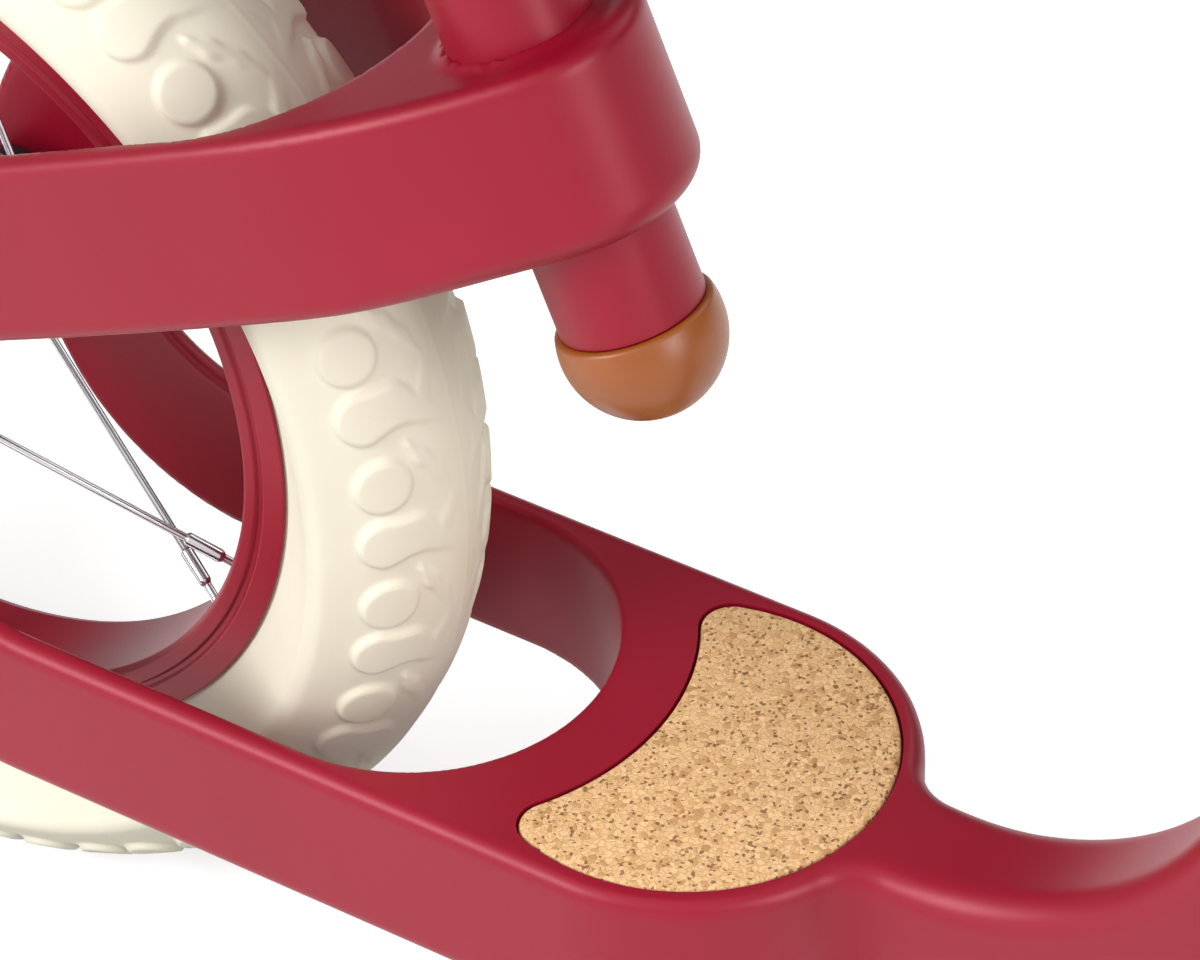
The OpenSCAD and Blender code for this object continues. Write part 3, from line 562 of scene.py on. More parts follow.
def castingSolid(c):
    side = Sheet(sideOutline(c), (-20, -90), (560, 260), 0.8)
    foot = Sheet(footOutline(c), (-20, -70), (600, 70), 0.6)
    loopOuter, loopInner = (Sheet(o, (-40, -70), (300, 70), 0.6) for o in loopOutlines(c))
    lean, head, band = (math.radians(c[k]) for k in ("seatLean", "headLean", "bandAngle"))
    inner = c["railSpan"] / 2 - c["railWall"]
    lowQ = -c["railTop"] - c["gapX"] * math.sin(band)
    midQ, highQ = lowQ + c["bandHeight"] / 2, lowQ + c["bandHeight"]
    split = -c["lugRadius"] - 5
    front = c["seatOffset"] + c["bossRadius"] + 10

    def solid(x, y, z):
        u, v = x * math.cos(lean) + z * math.sin(lean), z * math.cos(lean) - x * math.sin(lean)
        q = z * math.cos(band) - x * math.sin(band)
        border = np.interp(z, [split, 75, 400], [front - 30, front, front + 60])
        low = (z < split) | (x > border)
        plate = softJoin(side.at(x, z), np.hypot(x, z) - c["lugRadius"], c["lugFillet"])
        slot = np.where(x < c["slotX"], np.abs(y), np.hypot(x - c["slotX"], y)) - inner
        toBeam = (c["beamEdge"] - c["edge"]) * smoothStep(236, 285, x)
        toBoss = (c["bossEdge"] - c["edge"]) * smoothStep(165, 205, u) * smoothStep(midQ + 5, midQ - 5, q)
        edge = np.where(low, c["edge"] + toBeam, c["edge"] + toBoss)
        d = roundMeet(plate, np.where(low, foot.at(x, y), loopOuter.at(u, y)), edge)
        d = roundMeet(d, -np.where(low, slot, loopInner.at(u, y)), c["innerEdge"])
        fromTube = np.hypot(u - c["seatOffset"], y)
        bead = np.hypot(fromTube - c["tubeRadius"], q - highQ) - c["beadRadius"]
        d = softJoin(d, bead, c["beadFillet"])
        bore = np.maximum(fromTube - c["tubeRadius"] + 0.7, -20 - v)
        dx = x - (wheelbase - c["trail"])
        up, across = z * math.cos(head) - dx * math.sin(head), dx * math.cos(head) + z * math.sin(head)
        fromHead = np.hypot(across, y)
        pastEnds = np.abs(up - c["headStart"] - c["headLength"] / 2) - c["headLength"] / 2
        d = softJoin(d, roundMeet(fromHead - c["headRadius"], pastEnds, 1.0), c["headFillet"])
        d = np.where(np.abs(across) < 60, np.maximum(d, pastEnds), d)
        return np.maximum(np.maximum(d, -bore), c["headRadius"] - c["headWall"] - fromHead)

    return solid


def cutWith(piece, points, faces, name):  # takes a solid away from a piece
    tool = bpy.data.objects.new(name, meshOf(name, points, faces, rearAxle))
    bpy.context.scene.collection.objects.link(tool)
    cut = piece.modifiers.new("cut", "BOOLEAN")
    cut.operation, cut.object, cut.solver = "DIFFERENCE", tool, "EXACT"
    bpy.context.view_layer.update()
    shape = piece.evaluated_get(bpy.context.evaluated_depsgraph_get())
    result = bpy.data.meshes.new_from_object(shape)
    piece.modifiers.clear()
    piece.data = result
    bpy.data.objects.remove(tool)


def prism(outline, low, high):  # an outline drawn up from low to high
    n = len(outline)
    points = np.concatenate([np.column_stack((outline, np.full(n, z))) for z in (low, high)])
    faces = [list(range(n))[::-1], list(range(n, 2 * n))]
    faces += [[i, (i + 1) % n, n + (i + 1) % n, n + i] for i in range(n)]
    return points, faces


def ringFaces(rings, n):
    return [[k * n + i, k * n + (i + 1) % n, (k + 1) * n + (i + 1) % n, (k + 1) * n + i]
            for k in range(rings - 1) for i in range(n)]


pad = {"outer": 45.2, "hollow": 62.0, "tip": 7.0, "gap": 0.55, "thickness": 3.0, "edge": 0.9}


def padOutline(grow):
    c = casting
    tip, outer, hollow = pad["tip"] + grow, pad["outer"] + grow, pad["hollow"] - grow
    x = ((hollow + tip) ** 2 - (outer - tip) ** 2 - c["slotX"] ** 2 + c["footrestX"] ** 2) / (
        2 * (c["footrestX"] - c["slotX"]))
    y = math.sqrt((outer - tip) ** 2 - (x - c["footrestX"]) ** 2)
    front = math.degrees(math.atan2(y, x - c["footrestX"]))
    rear = math.degrees(math.atan2(y, x - c["slotX"]))
    return np.concatenate([
        arcPoints((c["footrestX"], 0), outer, -front, front, 72)[:-1],
        arcPoints((x, y), tip, front, 180 + rear, 20)[:-1],
        arcPoints((c["slotX"], 0), hollow, rear, -rear, 60)[:-1],
        arcPoints((x, -y), tip, 180 - rear, 360 - front, 20)[:-1],
    ])


points, faces = skin(castingSolid(casting), (-18, -54, -84), (520, 54, 282), casting["step"])
frameCasting = addPiece("frame_casting", points, faces, "crimson_paint", "frame_body")
recess = prism(padOutline(pad["gap"]), casting["railTop"] - pad["thickness"], casting["railTop"] + 5)
cutWith(frameCasting, *recess, "recess")
shadeSmooth(frameCasting.data, 40)
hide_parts("frame")
print("casting:", len(points), "points")


# cork pad
def corkPad():
    top, r = casting["railTop"], pad["edge"]
    rings = [padOutline(0.0)]
    heights = [top - pad["thickness"]]
    for turn in np.radians(np.linspace(0, 90, 6)):
        rings.append(padOutline(-r * (1 - math.cos(turn))))
        heights.append(top - r + r * math.sin(turn) - 0.05)
    n = len(rings[0])
    allPoints = np.concatenate([np.column_stack((ring, np.full(n, z))) for ring, z in zip(rings, heights)])
    allFaces = [list(range(n))[::-1], [(len(rings) - 1) * n + i for i in range(n)]] + ringFaces(len(rings), n)
    piece = addPiece("cork_pad", allPoints, allFaces, "cork", "frame_body")
    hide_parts("footrest_pad")


corkPad()
print("cork pad made")


# seat tube, its cap and the seat post
lean = math.radians(casting["seatLean"])
seatAlong = (-math.sin(lean), 0, math.cos(lean))
seatAcross = (math.cos(lean), 0, math.sin(lean))
seatOrigin = np.array(seatAcross) * casting["seatOffset"]

seat = {"tubeLow": -3.0, "tubeTop": 110.0, "postRadius": 13.6, "postLow": 14.0, "postTop": 134.0,
        "capRadius": 17.9, "capDrop": 5.7, "plugRadius": 13.4}


def addSeatPiece(name, turned, sides, slotName, body):
    return addPiece(name, tilted(turned, seatAlong, seatAcross, seatOrigin), sides, slotName, body)


def seatTube():
    outer, bore = casting["tubeRadius"], seat["postRadius"] + 0.05
    profile = roundCorners([(bore, seat["tubeLow"]), (outer, seat["tubeLow"]), (outer, seat["tubeTop"]),
                            (bore, seat["tubeTop"])], 0.5)
    turned, sides = lathe(profile, 128, True)
    piece = addSeatPiece("seat_tube_drawn", turned, sides, "crimson_paint", "frame_body")
    slot = np.array([(-24, -1), (-8, -1), (-8, 1), (-24, 1)])
    slit, slitFaces = prism(slot, seat["tubeTop"] - 20, seat["tubeTop"] + 8)
    cutWith(piece, tilted(slit, seatAlong, seatAcross, seatOrigin), slitFaces, "slit")
    shadeSmooth(piece.data, 40)
    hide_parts("seat_tube")


def endCap():
    r, centre = seat["capRadius"], seat["tubeLow"] - seat["capDrop"]
    stop = math.degrees(math.asin((seat["capDrop"] - 1.4) / r))
    dome = arcPoints((0, centre), r, -90, stop, 40)
    dome[0][0] = 0.02
    lip = arcPoints((dome[-1][0] - 1.35, seat["tubeLow"] - 1.35), 1.3, 10, 120, 8)
    low, plug = seat["tubeLow"], seat["plugRadius"]
    inside = [(lip[-1][0] - 0.5, low - 0.5), (15.0, low - 0.6), (plug, low), (plug, low + 12), (0.02, low + 12)]
    turned, sides = lathe(np.concatenate([dome, lip, inside]), 112)
    piece = addSeatPiece("end_cap", turned, sides, "caramel_rubber", "frame_body")
    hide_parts("seat_tube_end_cap")


def seatPost():
    outer, low, high = seat["postRadius"], seat["postLow"], seat["postTop"]
    profile = roundCorners([(outer - 2.2, low), (outer, low), (outer, high), (0.02, high), (0.02, high - 5),
                            (outer - 2.2, high - 5)], [0.4, 0.6, 0.8, 0, 0, 0])
    turned, sides = lathe(profile, 96, True)
    piece = addSeatPiece("seat_post_drawn", turned, sides, "black_metal", "seat")
    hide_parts("seat_post")


seatTube()
endCap()
seatPost()
print("seat tube, cap and post made")


# tyres, rims and nipples
wheel = {
    "radius": 150.0, "section": 31.2, "bead": 111.3, "foot": 11.9, "bed": 106.9, "fold": 5.2, "sideAngle": 45.6,
    "repeats": 27, "perRepeat": 40, "relief": 1.4, "slope": 0.75, "runRadius": 138.0,
    "button": (20.5, 6.5),
    "drop": [(21.5, 17.5, 6.2), (14.5, 18.1, 4.6), (8.5, 14.5, 2.6), (2.0, 9.0, 0.8)],
    "hook": [(13.4, 8.2, 0.7), (10.6, 4.0, 1.5), (7.0, -1.0, 1.1), (4.4, -6.5, 0.6)],
    "bud": [(6.5, -14.0, 1.9), (3.4, -9.4, 1.2), (1.6, -6.0, 0.7)],
}


def commaDistance(s, t, stones):  # a row of round stones of falling size, joined like a drop with a tail
    best = None
    for (s0, t0, r0), (s1, t1, r1) in zip(stones, stones[1:]):
        ds, dt = s1 - s0, t1 - t0
        h = np.clip(((s - s0) * ds + (t - t0) * dt) / (ds * ds + dt * dt), 0, 1)
        d = np.hypot(s - s0 - h * ds, t - t0 - h * dt) - (r0 + h * (r1 - r0))
        best = d if best is None else softJoin(best, d, 2.0)
    return best


def treadHeight(s, t, pitch):  # s runs from the crown to one side, t round the tyre
    best = np.full(np.broadcast(s, t).shape, 50.0)
    buttonAt, buttonRadius = wheel["button"]
    for shift in (-pitch, 0, pitch):
        u = t - shift
        best = np.minimum(best, np.hypot((s - buttonAt) * 0.97, u) - buttonRadius)
        for stones in (wheel["drop"], wheel["hook"], wheel["bud"]):
            best = np.minimum(best, commaDistance(s, u, stones))
    return smoothStep(wheel["slope"], -wheel["slope"], best)


def tyrePiece(name, node, body, centre):
    w = wheel
    mid, lean = w["radius"] - w["section"], math.radians(w["sideAngle"])
    along = np.array([math.cos(lean), math.sin(lean)])
    low = np.array([w["bead"] - mid, w["foot"]]) + w["fold"] * np.array([math.sin(lean), -math.cos(lean)])
    reach = low @ along
    foldC = low + along * (math.sqrt(reach ** 2 + (w["section"] - w["fold"]) ** 2 - low @ low) - reach)
    turnAt = math.atan2(foldC[1], foldC[0])  # where the round tread meets the folded side
    half = [(mid + w["section"] * math.cos(a), w["section"] * math.sin(a), w["section"] * a,
             math.cos(a), math.sin(a)) for a in np.linspace(0, turnAt, 72)]
    for a in np.linspace(turnAt, lean + math.pi / 2, 14)[1:]:
        half.append((mid + foldC[0] + w["fold"] * math.cos(a), foldC[1] + w["fold"] * math.sin(a),
                     w["section"] * turnAt + w["fold"] * (a - turnAt), math.cos(a), math.sin(a)))
    half += [(w["bead"], w["foot"], 90.0, -1, 0), (w["bed"], w["foot"], 90.0, -1, 0)]
    half = np.array(half)
    profile = np.concatenate([half[::-1], half[1:] * [1, -1, -1, 1, -1]])
    count = w["repeats"] * w["perRepeat"]
    turn = np.linspace(0, 2 * math.pi, count, endpoint=False)
    pitch = 2 * math.pi * w["runRadius"] / w["repeats"]
    s, t = profile[:, 2:3], (turn[None, :] * w["runRadius"]) % pitch
    near = treadHeight(s, t, pitch)
    far = treadHeight(-s, (t + pitch / 2) % pitch, pitch)
    raised = np.where(s >= 0, near, far)
    away = np.abs(s)
    ground = smoothStep(0.5, 17.0, away) * smoothStep(43.0, 28.0, away)  # none at the crown or by the rim
    height = -w["relief"] * ground * (1 - raised) + 0.12 * np.exp(-(away / 0.6) ** 2) - 0.12
    r = profile[:, 0:1] + height * profile[:, 3:4]
    y = profile[:, 1:2] + height * profile[:, 4:5]
    wide = np.broadcast_to(y, (len(profile), count))
    points = np.stack([r * np.cos(turn), wide, r * np.sin(turn)], axis=-1).reshape(-1, 3)
    i, j = np.meshgrid(np.arange(len(profile)), np.arange(count), indexing="ij")
    n, m = (j + 1) % count, (i + 1) % len(profile)
    faces = np.stack([i * count + j, i * count + n, m * count + n, m * count + j], axis=-1).reshape(-1, 4)
    piece = addPiece(name, points, faces, "cream_tyre", body, centre, 60)
    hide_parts(node)


rimShape = {"lip": 111.0, "half": 13.0, "inner": 99.0, "groove": 104.2, "bed": 106.6}


def rimPiece(name, node, body, centre):
    r = rimShape
    wide, lip, groove, inner = r["half"], r["lip"], r["groove"], r["inner"]
    half = [  # radius, distance from the middle, corner radius
        (r["bed"], 0.0, 0), (r["bed"], wide - 3.0, 1.0), (lip - 2.4, wide - 1.2, 1.0), (lip, wide - 1.0, 0.4),
        (lip, wide, 0.5), (groove + 1.3, wide - 0.1, 0.7), (groove + 0.5, wide - 1.1, 0.4),
        (groove - 0.4, wide - 1.2, 0.4), (groove - 1.1, wide - 0.3, 0.7), (inner + 1.2, wide - 0.5, 1.2),
        (inner, wide - 2.6, 1.2), (inner, 4.0, 0),
    ]
    mirror = [(a, -b, c) for a, b, c in half[::-1] if b > 0]
    ring = half + mirror
    profile = roundCorners([(a, b) for a, b, _ in ring], [c for _, _, c in ring], 6)
    points, faces = lathe(profile, 240, True)
    points = points[:, [0, 2, 1]]
    piece = addPiece(name, points, faces[:, ::-1], "crimson_rim", body, centre, 50)
    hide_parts(node)


spoke = {"pairs": 6, "first": -31.0, "half": 6.8, "lean": 26.0, "holeRadius": 20.0, "flange": 26.0,
         "stand": 3.4, "rimY": 3.0, "nipple": 14.0, "body": 1.55, "neck": 0.95}


def nipplePieces(name, node, body, centre):
    allPoints, allFaces, start = [], [], 0
    for k in range(spoke["pairs"]):
        for side in (-1, 1):
            turn = math.radians(spoke["first"] + 360 / spoke["pairs"] * k - side * spoke["half"])
            back = turn - math.radians(side * spoke["lean"])
            hubR, rimR = spoke["holeRadius"], rimShape["inner"]
            hubY, rimY = side * (spoke["flange"] + spoke["stand"]), side * spoke["rimY"]
            hub = np.array([hubR * math.cos(back), hubY, hubR * math.sin(back)])
            rim = np.array([rimR * math.cos(turn), rimY, rimR * math.sin(turn)])
            way = (rim - hub) / np.linalg.norm(rim - hub)
            base = rim - way * spoke["nipple"]
            b, n = spoke["body"], spoke["neck"]
            outline = [(0.92, 0.0), (b - 0.5, 0.0), (b, 0.6), (b, 8.6), (b - 0.2, 9.1), (n, 9.7), (n, 13.0),
                       (n + 0.5, 13.2), (n + 0.5, 15.6), (0.3, 15.8)]
            profile = roundCorners(outline, 0.25, 3)
            points, faces = lathe(profile, 24, True)
            turnAt = np.arctan2(points[:, 1], points[:, 0])
            flat = smoothStep(1.0, 1.6, points[:, 2]) * smoothStep(9.0, 8.4, points[:, 2])
            radius = np.hypot(points[:, 0], points[:, 1])
            squared = 0.92 / np.maximum(np.abs(np.cos(turnAt)), np.abs(np.sin(turnAt)))
            scale = 1 + flat * (np.minimum(1.0, squared) - 1) * (radius > 1.15)
            points = points * np.column_stack((scale, scale, np.ones(len(scale))))
            spin = Vector((0, 0, 1)).rotation_difference(Vector(way)).to_matrix()
            points = points @ np.array(spin).T + base
            allPoints.append(points)
            allFaces.append(faces + start)
            start += len(points)
    piece = addPiece(name, np.concatenate(allPoints), np.concatenate(allFaces), "steel", body, centre, 35)
    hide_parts(node)


for end, body, centre in (("rear", "rear_wheel", rearAxle), ("front", "front_wheel", frontAxle)):
    tyrePiece(end + "_tread_tyre", end + "_tyre", body, centre)
    rimPiece(end + "_rim_turned", end + "_rim", body, centre)
    nipplePieces(end + "_nipples_turned", end + "_nipples", body, centre)
print("tyres, rims and nipples made")


# fork
headLean = math.radians(casting["headLean"])
steerAlong = (-math.sin(headLean), 0, math.cos(headLean))
steerAcross = (math.cos(headLean), 0, math.sin(headLean))
steerOrigin = np.array([wheelbase - casting["trail"], 0, 0])

fork = {"crownTop": 176.0, "arch": 44.6, "outer": 50.4, "legWidth": 28.0, "lug": 13.5, "edge": 3.2,
        "innerEdge": 1.7, "crownDepth": 14.0, "legSpare": 2.0, "crownSpare": 4.0, "fillet": 5.0}


def forkSolid():
    f = fork
    archZ = f["crownTop"] - f["crownDepth"] - f["arch"]
    halfLeg = f["legWidth"] / 2
    axle = np.array([casting["trail"] * math.cos(headLean), -casting["trail"] * math.sin(headLean)])
    top = np.array([0.0, archZ])
    d = axle - top
    size, heading = np.linalg.norm(d), math.degrees(math.atan2(d[1], d[0]))
    spreadAngle = math.degrees(math.acos((halfLeg + f["legSpare"] - f["lug"]) / size))
    strap = np.concatenate([
        arcPoints(top, halfLeg + f["legSpare"], heading + spreadAngle, heading + 360 - spreadAngle, 40),
        arcPoints(axle, f["lug"], heading - spreadAngle, heading + spreadAngle, 40),
    ])
    side = Sheet(strap, (-40, -40), (60, 200), 0.6)

    def solid(x, y, z):
        pastUpper = np.abs(z - (archZ + f["crownTop"]) / 2) - (f["crownTop"] - archZ) / 2
        upper = roundMeet(np.abs(x) - halfLeg - f["legSpare"], pastUpper, 0.5)
        plate = np.minimum(side.at(x, z), upper)
        fromArch = np.where(z < archZ, np.abs(y), np.hypot(y, z - archZ))
        d = roundMeet(plate, fromArch - f["outer"], f["edge"])
        d = roundMeet(d, f["arch"] - fromArch, f["innerEdge"])
        halfCrown = f["crownDepth"] / 2
        pastCrown = np.abs(z - f["crownTop"] + halfCrown) - halfCrown
        crown = roundMeet(np.hypot(x, y) - halfLeg - f["crownSpare"], pastCrown, 1.2)
        crown = np.maximum(crown, f["arch"] - fromArch)
        return np.maximum(softJoin(d, crown, f["fillet"]), z - f["crownTop"])

    return solid


points, faces = skin(forkSolid(), (-24, -54, -28), (44, 54, 180), 1.4)
placed = tilted(points, steerAlong, steerAcross, steerOrigin)
forkCast = addPiece("fork_cast", placed, faces, "crimson_paint", "steering")
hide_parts("fork")
print("fork made:", len(points), "points")


# handlebar and grips
bar = {"radius": 11.1, "clampAcross": 34.0, "clampAlong": 302.0, "low": (0.0, 42.0, 0.0),
       "bend": (-6.0, 80.0, 58.0), "end": (-14.0, 190.0, 58.0), "grip": 94.0, "gripRadius": 15.5,
       "bendRun": 20.0, "flange": 3.8, "ribPitch": 6.4, "ribDepth": 1.2, "firstRib": 10.0}


def sweep(path, radius, count=40):  # a round bar along a path, closed at both ends
    path = np.asarray(path, float)
    way = np.gradient(path, axis=0)
    way /= np.linalg.norm(way, axis=1)[:, None]
    side = np.cross(way, (1.0, 0.0, 0.0))
    side /= np.linalg.norm(side, axis=1)[:, None]
    over = np.cross(way, side)
    turn = np.linspace(0, 2 * math.pi, count, endpoint=False)
    radius = np.broadcast_to(radius, len(path))
    out = np.cos(turn)[None, :, None] * side[:, None] + np.sin(turn)[None, :, None] * over[:, None]
    points = (path[:, None] + radius[:, None, None] * out).reshape(-1, 3)
    i, j = np.meshgrid(np.arange(len(path) - 1), np.arange(count), indexing="ij")
    n = (j + 1) % count
    quads = np.stack([i * count + j, (i + 1) * count + j, (i + 1) * count + n, i * count + n], axis=-1)
    faces = [list(q) for q in quads.reshape(-1, 4)]
    last = (len(path) - 1) * count
    faces += [list(range(count)), [last + k for k in range(count)][::-1]]
    return points, faces


def barPath():
    low, bend, end = (np.array(bar[k]) for k in ("low", "bend", "end"))
    run = bar["bendRun"]
    half = [np.array([0.0, 0.0, 0.0])]
    for before, p, after in ((half[0], low, bend), (low, bend, end)):
        a = p + (before - p) / np.linalg.norm(before - p) * run
        b = p + (after - p) / np.linalg.norm(after - p) * run
        half += [(1 - t) ** 2 * a + 2 * t * (1 - t) * p + t * t * b for t in np.linspace(0, 1, 14)]
    half.append(end)
    half = np.array(half)
    return np.concatenate([half[::-1] * [1, -1, 1], half[1:]])


def placeOnBar(points):
    origin = (steerOrigin + np.array(steerAcross) * bar["clampAcross"]
              + np.array(steerAlong) * bar["clampAlong"])
    return tilted(points, steerAlong, steerAcross, origin)


def gripPieces():
    bend, end = np.array(bar["bend"]), np.array(bar["end"])
    way = (end - bend) / np.linalg.norm(end - bend)
    r, length = bar["gripRadius"], bar["grip"]
    rim, valley = r + bar["flange"], r - bar["ribDepth"]
    stops = [(bar["radius"] + 0.05, 0.0), (rim - 0.4, 0.0), (rim, 2.5), (rim - 0.4, 5.0), (valley, 6.5)]
    run = bar["firstRib"]
    while run < length - 9:
        stops += [(valley, run), (r - 0.2, run + 0.9), (r - 0.2, run + 3.2), (valley, run + 4.1)]
        run += bar["ribPitch"]
    stops += [(valley, length - 4), (r + 1.6, length - 2), (r + 1.8, length + 3), (r - 1.5, length + 4.8),
              (0.05, length + 4.8)]
    profile = roundCorners(stops, [0] + [0.9] * (len(stops) - 2) + [0], 4)
    turned, sides = lathe(profile, 72)
    for side, name in ((1, "left_grip"), (-1, "right_grip")):
        heading = way * [1, side, 1]
        start = (end - way * length) * [1, side, 1]
        spin = Vector((0, 0, 1)).rotation_difference(Vector(heading)).to_matrix()
        points = turned @ np.array(spin).T + start
        piece = addPiece(name + "_ribbed", placeOnBar(points), sides, "caramel_rubber", "steering")
        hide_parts(name)


points, faces = sweep(barPath(), bar["radius"])
handlebar = addPiece("bent_bar", placeOnBar(points), faces, "black_metal", "steering")
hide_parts("handlebar")
gripPieces()
print("handlebar and grips made")


# saddle
saddle = {"length": 205.0, "low": 22.0, "high": 47.0, "fill": 0.7, "noseRadius": 21.0, "waistRadius": 110.0,
          "waistHalf": 28.0, "tailRadius": 37.0, "tailAcross": 27.0, "piping": 1.5, "pipingIn": 1.6}


def saddleOutline(inset):
    noseR, waistR, tailR = saddle["noseRadius"], saddle["waistRadius"], saddle["tailRadius"]
    nose, tail = saddle["length"] * 0.6 - noseR, -saddle["length"] * 0.4 + 50
    waist, waistIn, tailY = nose - 46, waistR - saddle["waistHalf"] + inset, saddle["tailAcross"]
    parts = [
        arcPoints((nose, 0), noseR - inset, -80, 80, 24),
        arcPoints((waist, waistR), waistIn, -76, -124, 24),
        arcPoints((tail, tailY), tailR - inset, 72, 182, 24),
        arcPoints((tail, -tailY), tailR - inset, 178, 288, 24),
        arcPoints((waist, -waistR), waistIn, 124, 76, 24),
    ]
    path = np.concatenate(parts)
    step = np.linalg.norm(np.diff(np.vstack([path, path[:1]]), axis=0), axis=1)
    run = np.concatenate([[0], np.cumsum(step)])
    closed = np.vstack([path, path[:1]])
    at = np.linspace(0, run[-1], 161)[:-1]
    even = np.column_stack([np.interp(at, run, closed[:, k]) for k in (0, 1)])
    for _ in range(3):
        even = (np.roll(even, 1, axis=0) + 2 * even + np.roll(even, -1, axis=0)) / 4
    return even


def placeSaddle(points):
    top = seatOrigin + np.array(seatAlong) * seat["postTop"]
    return points + top


def cushionShape():
    edge = saddleOutline(0.0)
    spine = np.column_stack([np.clip(edge[:, 0] * 0.72 - 2, -46, 84), np.zeros(len(edge))])
    rings, low, high = [], saddle["low"], saddle["high"]
    for share, z in ((0.16, low + 0.2), (0.06, low + 0.3), (0.035, low + 2.0)):
        rings.append(np.column_stack([edge + (spine - edge) * share, np.full(len(edge), z)]))
    for t in np.linspace(0, 1, 22):
        angle = t * math.pi / 2
        share = 0.012 + 0.93 * (1 - math.cos(angle)) ** 1.25
        rise = math.sin(angle) ** 0.62
        ring = edge + (spine - edge) * share
        rim = low + 4.5
        dip = 4.2 * np.exp(-((ring[:, 0] - 18) / 42) ** 2)
        crown = high - 1.2 - dip - 2.5 * smoothStep(60, 105, ring[:, 0])
        channel = smoothStep(-70, -35, ring[:, 0]) * smoothStep(70, 30, ring[:, 0])
        crown -= 2.2 * np.exp(-(ring[:, 1] / 9.0) ** 2) * channel
        rings.append(np.column_stack([ring, rim + (crown - rim) * rise]))
    n = len(edge)
    points = np.concatenate(rings)
    faces = ringFaces(len(rings), n)
    faces += [list(range(n))[::-1], [(len(rings) - 1) * n + i for i in range(n)]]
    return points, faces


def edgeLoop(inset, height):
    edge = saddleOutline(0.0)
    way = np.roll(edge, -1, axis=0) - np.roll(edge, 1, axis=0)
    way /= np.linalg.norm(way, axis=1)[:, None]
    out = np.column_stack([way[:, 1], -way[:, 0]])
    return np.column_stack([edge - out * inset, np.full(len(edge), height)])


def ringTube(path, radius, count=12):
    way = np.roll(path, -1, axis=0) - np.roll(path, 1, axis=0)
    way /= np.linalg.norm(way, axis=1)[:, None]
    side = np.cross(way, (0.0, 0.0, 1.0))
    side /= np.linalg.norm(side, axis=1)[:, None]
    over = np.cross(side, way)
    turn = np.linspace(0, 2 * math.pi, count, endpoint=False)
    outward = np.cos(turn)[None, :, None] * side[:, None] + np.sin(turn)[None, :, None] * over[:, None]
    points = (path[:, None] + radius * outward).reshape(-1, 3)
    n = len(path)
    i, j = np.meshgrid(np.arange(n), np.arange(count), indexing="ij")
    k, m = (i + 1) % n, (j + 1) % count
    faces = np.stack([i * count + j, k * count + j, k * count + m, i * count + m], axis=-1).reshape(-1, 4)
    return points, faces


def saddlePieces():
    points, faces = cushionShape()
    cushion = addPiece("saddle_cushion_sewn", placeSaddle(points), faces, "caramel_leather", "seat", None, 75)
    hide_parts("saddle_cushion")
    points, faces = ringTube(edgeLoop(saddle["pipingIn"], saddle["low"] + 3.4), saddle["piping"])
    addPiece("saddle_piping", placeSaddle(points), faces, "caramel_leather", "seat")
    shell = []
    for inset, z in ((9.0, 15.9), (4.0, 16.0), (2.2, 17.6), (1.6, 20.0), (1.9, 22.4), (7.0, 22.8)):
        shell.append(edgeLoop(inset, z))
    points = np.concatenate(shell)
    n = len(shell[0])
    faces = ringFaces(len(shell), n) + [list(range(n))[::-1], [(len(shell) - 1) * n + i for i in range(n)]]
    base = addPiece("saddle_shell", placeSaddle(points), faces, "black_plastic", "seat")
    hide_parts("saddle_base")


saddlePieces()
print("saddle made")


# CAD parts that keep their shape get their finish and soft edges
keptParts = {"weld": 0.00001, "edge": 0.0004, "sharp": 35}  # metres, metres, degrees
for item in frame["record"]["subparts"]:
    node = nodes[item["node"]]
    if node.hide_render:
        continue
    node.data.materials.clear()
    node.data.materials.append(finishes[item["material_slot"]])
    weld = node.modifiers.new("weld", "WELD")
    weld.merge_threshold = keptParts["weld"]
    soft = node.modifiers.new("softEdge", "BEVEL")
    soft.width = keptParts["edge"]
    soft.segments = 2
    soft.limit_method = "ANGLE"
    soft.angle_limit = math.radians(keptParts["sharp"])
    soft.harden_normals = True
print("CAD parts finished")


# floor, light and camera
stage = {"floorHalf": 12.0, "sky": 1.15, "under": 0.16, "skyWay": (0.10, -0.62, 0.78),
         "key": 38.0, "fill": 22.0, "back": 7.0, "floorGlow": 0.42, "aim": (-0.1, 0, 0.15),
         "lamps": [("key", (-1.3, -1.7, 1.25), (1.2, 1.0)), ("fill", (1.9, -0.4, 0.9), (0.7, 1.2)),
                   ("back", (0.4, 1.8, 1.6), (1.6, 0.6))]}


def floorPiece():
    f = Finish("paleFloor", Specular_IOR_Level=0.1, Emission_Color=(1.0, 1.0, 1.0),
               Emission_Strength=stage["floorGlow"])
    wash = f.noise(1.5, 3.0)
    f.feed(Base_Color=f.mix(f.spread(wash, 0.0, 1.0), (0.94, 0.94, 0.94), (0.92, 0.92, 0.92)))
    f.feed(Roughness=f.spread(wash, 0.8, 0.9))
    half = stage["floorHalf"]
    mesh = bpy.data.meshes.new("floor")
    count = 8
    line = np.linspace(-half, half, count + 1)
    points = [(x, y, 0.0) for x in line for y in line]
    row = count + 1
    corners = [i * row + j for i in range(count) for j in range(count)]
    faces = [[a, a + row, a + row + 1, a + 1] for a in corners]
    mesh.from_pydata(points, [], faces)
    mesh.materials.append(f.material)
    floor = bpy.data.objects.new("floor", mesh)
    floor.visible_diffuse = False  # keeps the insides as dark as they are over a real sweep
    bpy.context.scene.collection.objects.link(floor)


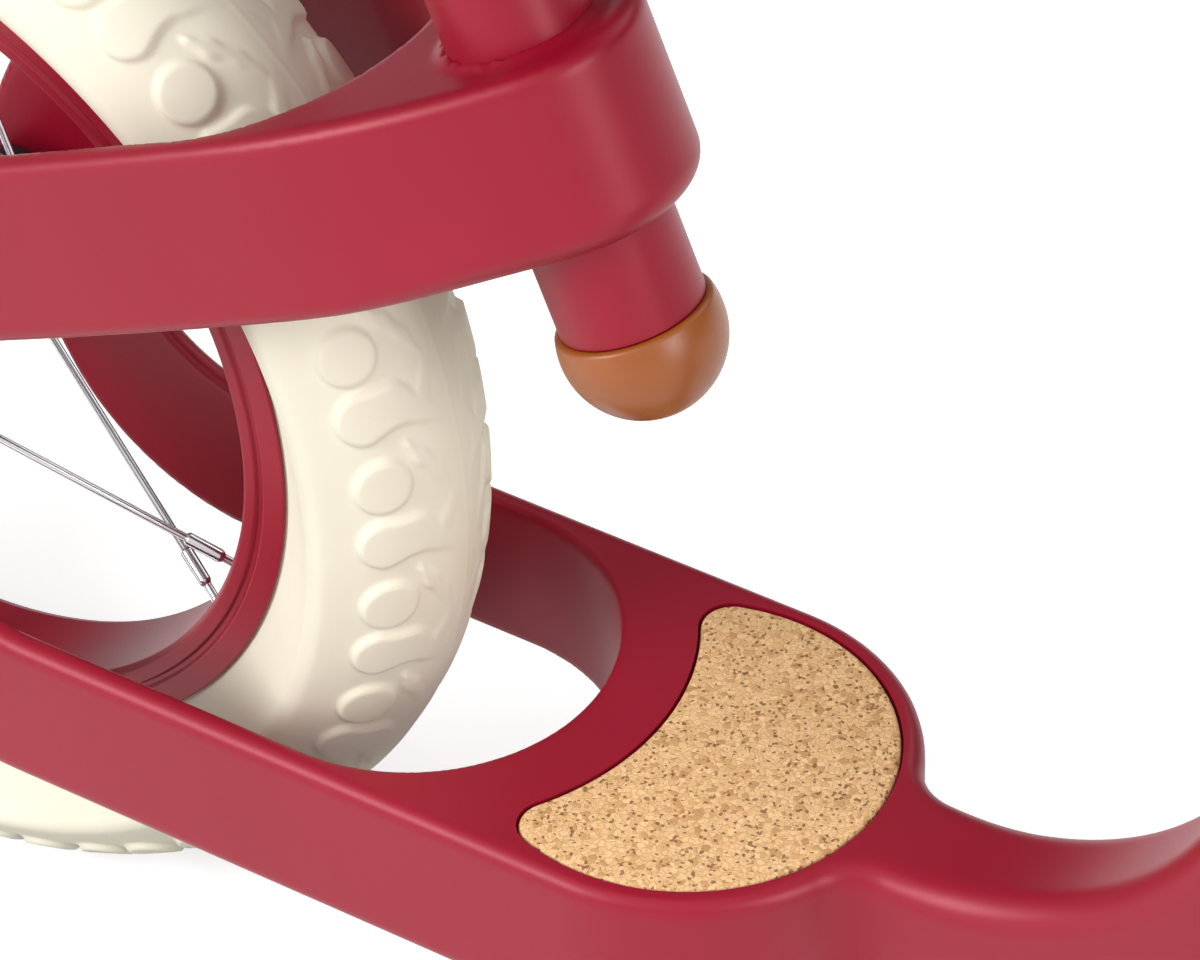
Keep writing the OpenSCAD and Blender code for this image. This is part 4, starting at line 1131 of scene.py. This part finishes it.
def areaLight(name, place, target, size, power):
    data = bpy.data.lights.new(name, "AREA")
    data.shape, data.energy = "RECTANGLE", power
    data.size, data.size_y = size
    lamp = bpy.data.objects.new(name, data)
    lamp.location = place
    lamp.rotation_euler = (Vector(target) - Vector(place)).to_track_quat("-Z", "Y").to_euler()
    bpy.context.scene.collection.objects.link(lamp)


def studio():
    world = bpy.data.worlds.new("studio")
    bpy.context.scene.world = world
    world.use_nodes = True
    back = world.node_tree.nodes["Background"]
    w = Wiring(world.node_tree)
    way = w.node("ShaderNodeTexCoord", output="Generated")
    facing = w.node("ShaderNodeVectorMath", {"operation": "DOT_PRODUCT"}, {0: way, 1: stage["skyWay"]}, "Value")
    glow = w.node("ShaderNodeMapRange", {}, {"Value": facing, "From Min": -0.05, "From Max": 0.95,
                                             "To Min": stage["under"], "To Max": stage["sky"]})
    w.plug(back.inputs["Strength"], 1.0)
    w.plug(back.inputs["Color"], glow)
    for name, place, size in stage["lamps"]:
        areaLight(name + "Softbox", place, stage["aim"], size, stage[name])
    bpy.context.scene.view_settings.view_transform = "Standard"


camera = {"azimuth": 33.66, "elevation": 40.7, "roll": -1.72, "lens": 201.0, "place": (0.4818, -0.8826, 1.0862)}


def addCamera():
    az, el, roll = (math.radians(camera[k]) for k in ("azimuth", "elevation", "roll"))
    back = Vector((math.sin(az) * math.cos(el), -math.cos(az) * math.cos(el), math.sin(el)))
    level = Vector((math.cos(az), math.sin(az), 0))
    up = back.cross(level)
    right = level * math.cos(roll) + up * math.sin(roll)
    top = up * math.cos(roll) - level * math.sin(roll)
    data = bpy.data.cameras.new("camera")
    data.sensor_width, data.lens = 36.0, camera["lens"]
    data.clip_end = 100
    seen = bpy.data.objects.new("camera", data)
    seen.matrix_world = Matrix((
        (right.x, top.x, back.x, camera["place"][0]), (right.y, top.y, back.y, camera["place"][1]),
        (right.z, top.z, back.z, camera["place"][2]), (0, 0, 0, 1)))
    bpy.context.scene.collection.objects.link(seen)
    bpy.context.scene.camera = seen


floorPiece()
studio()
addCamera()
print("stage set")
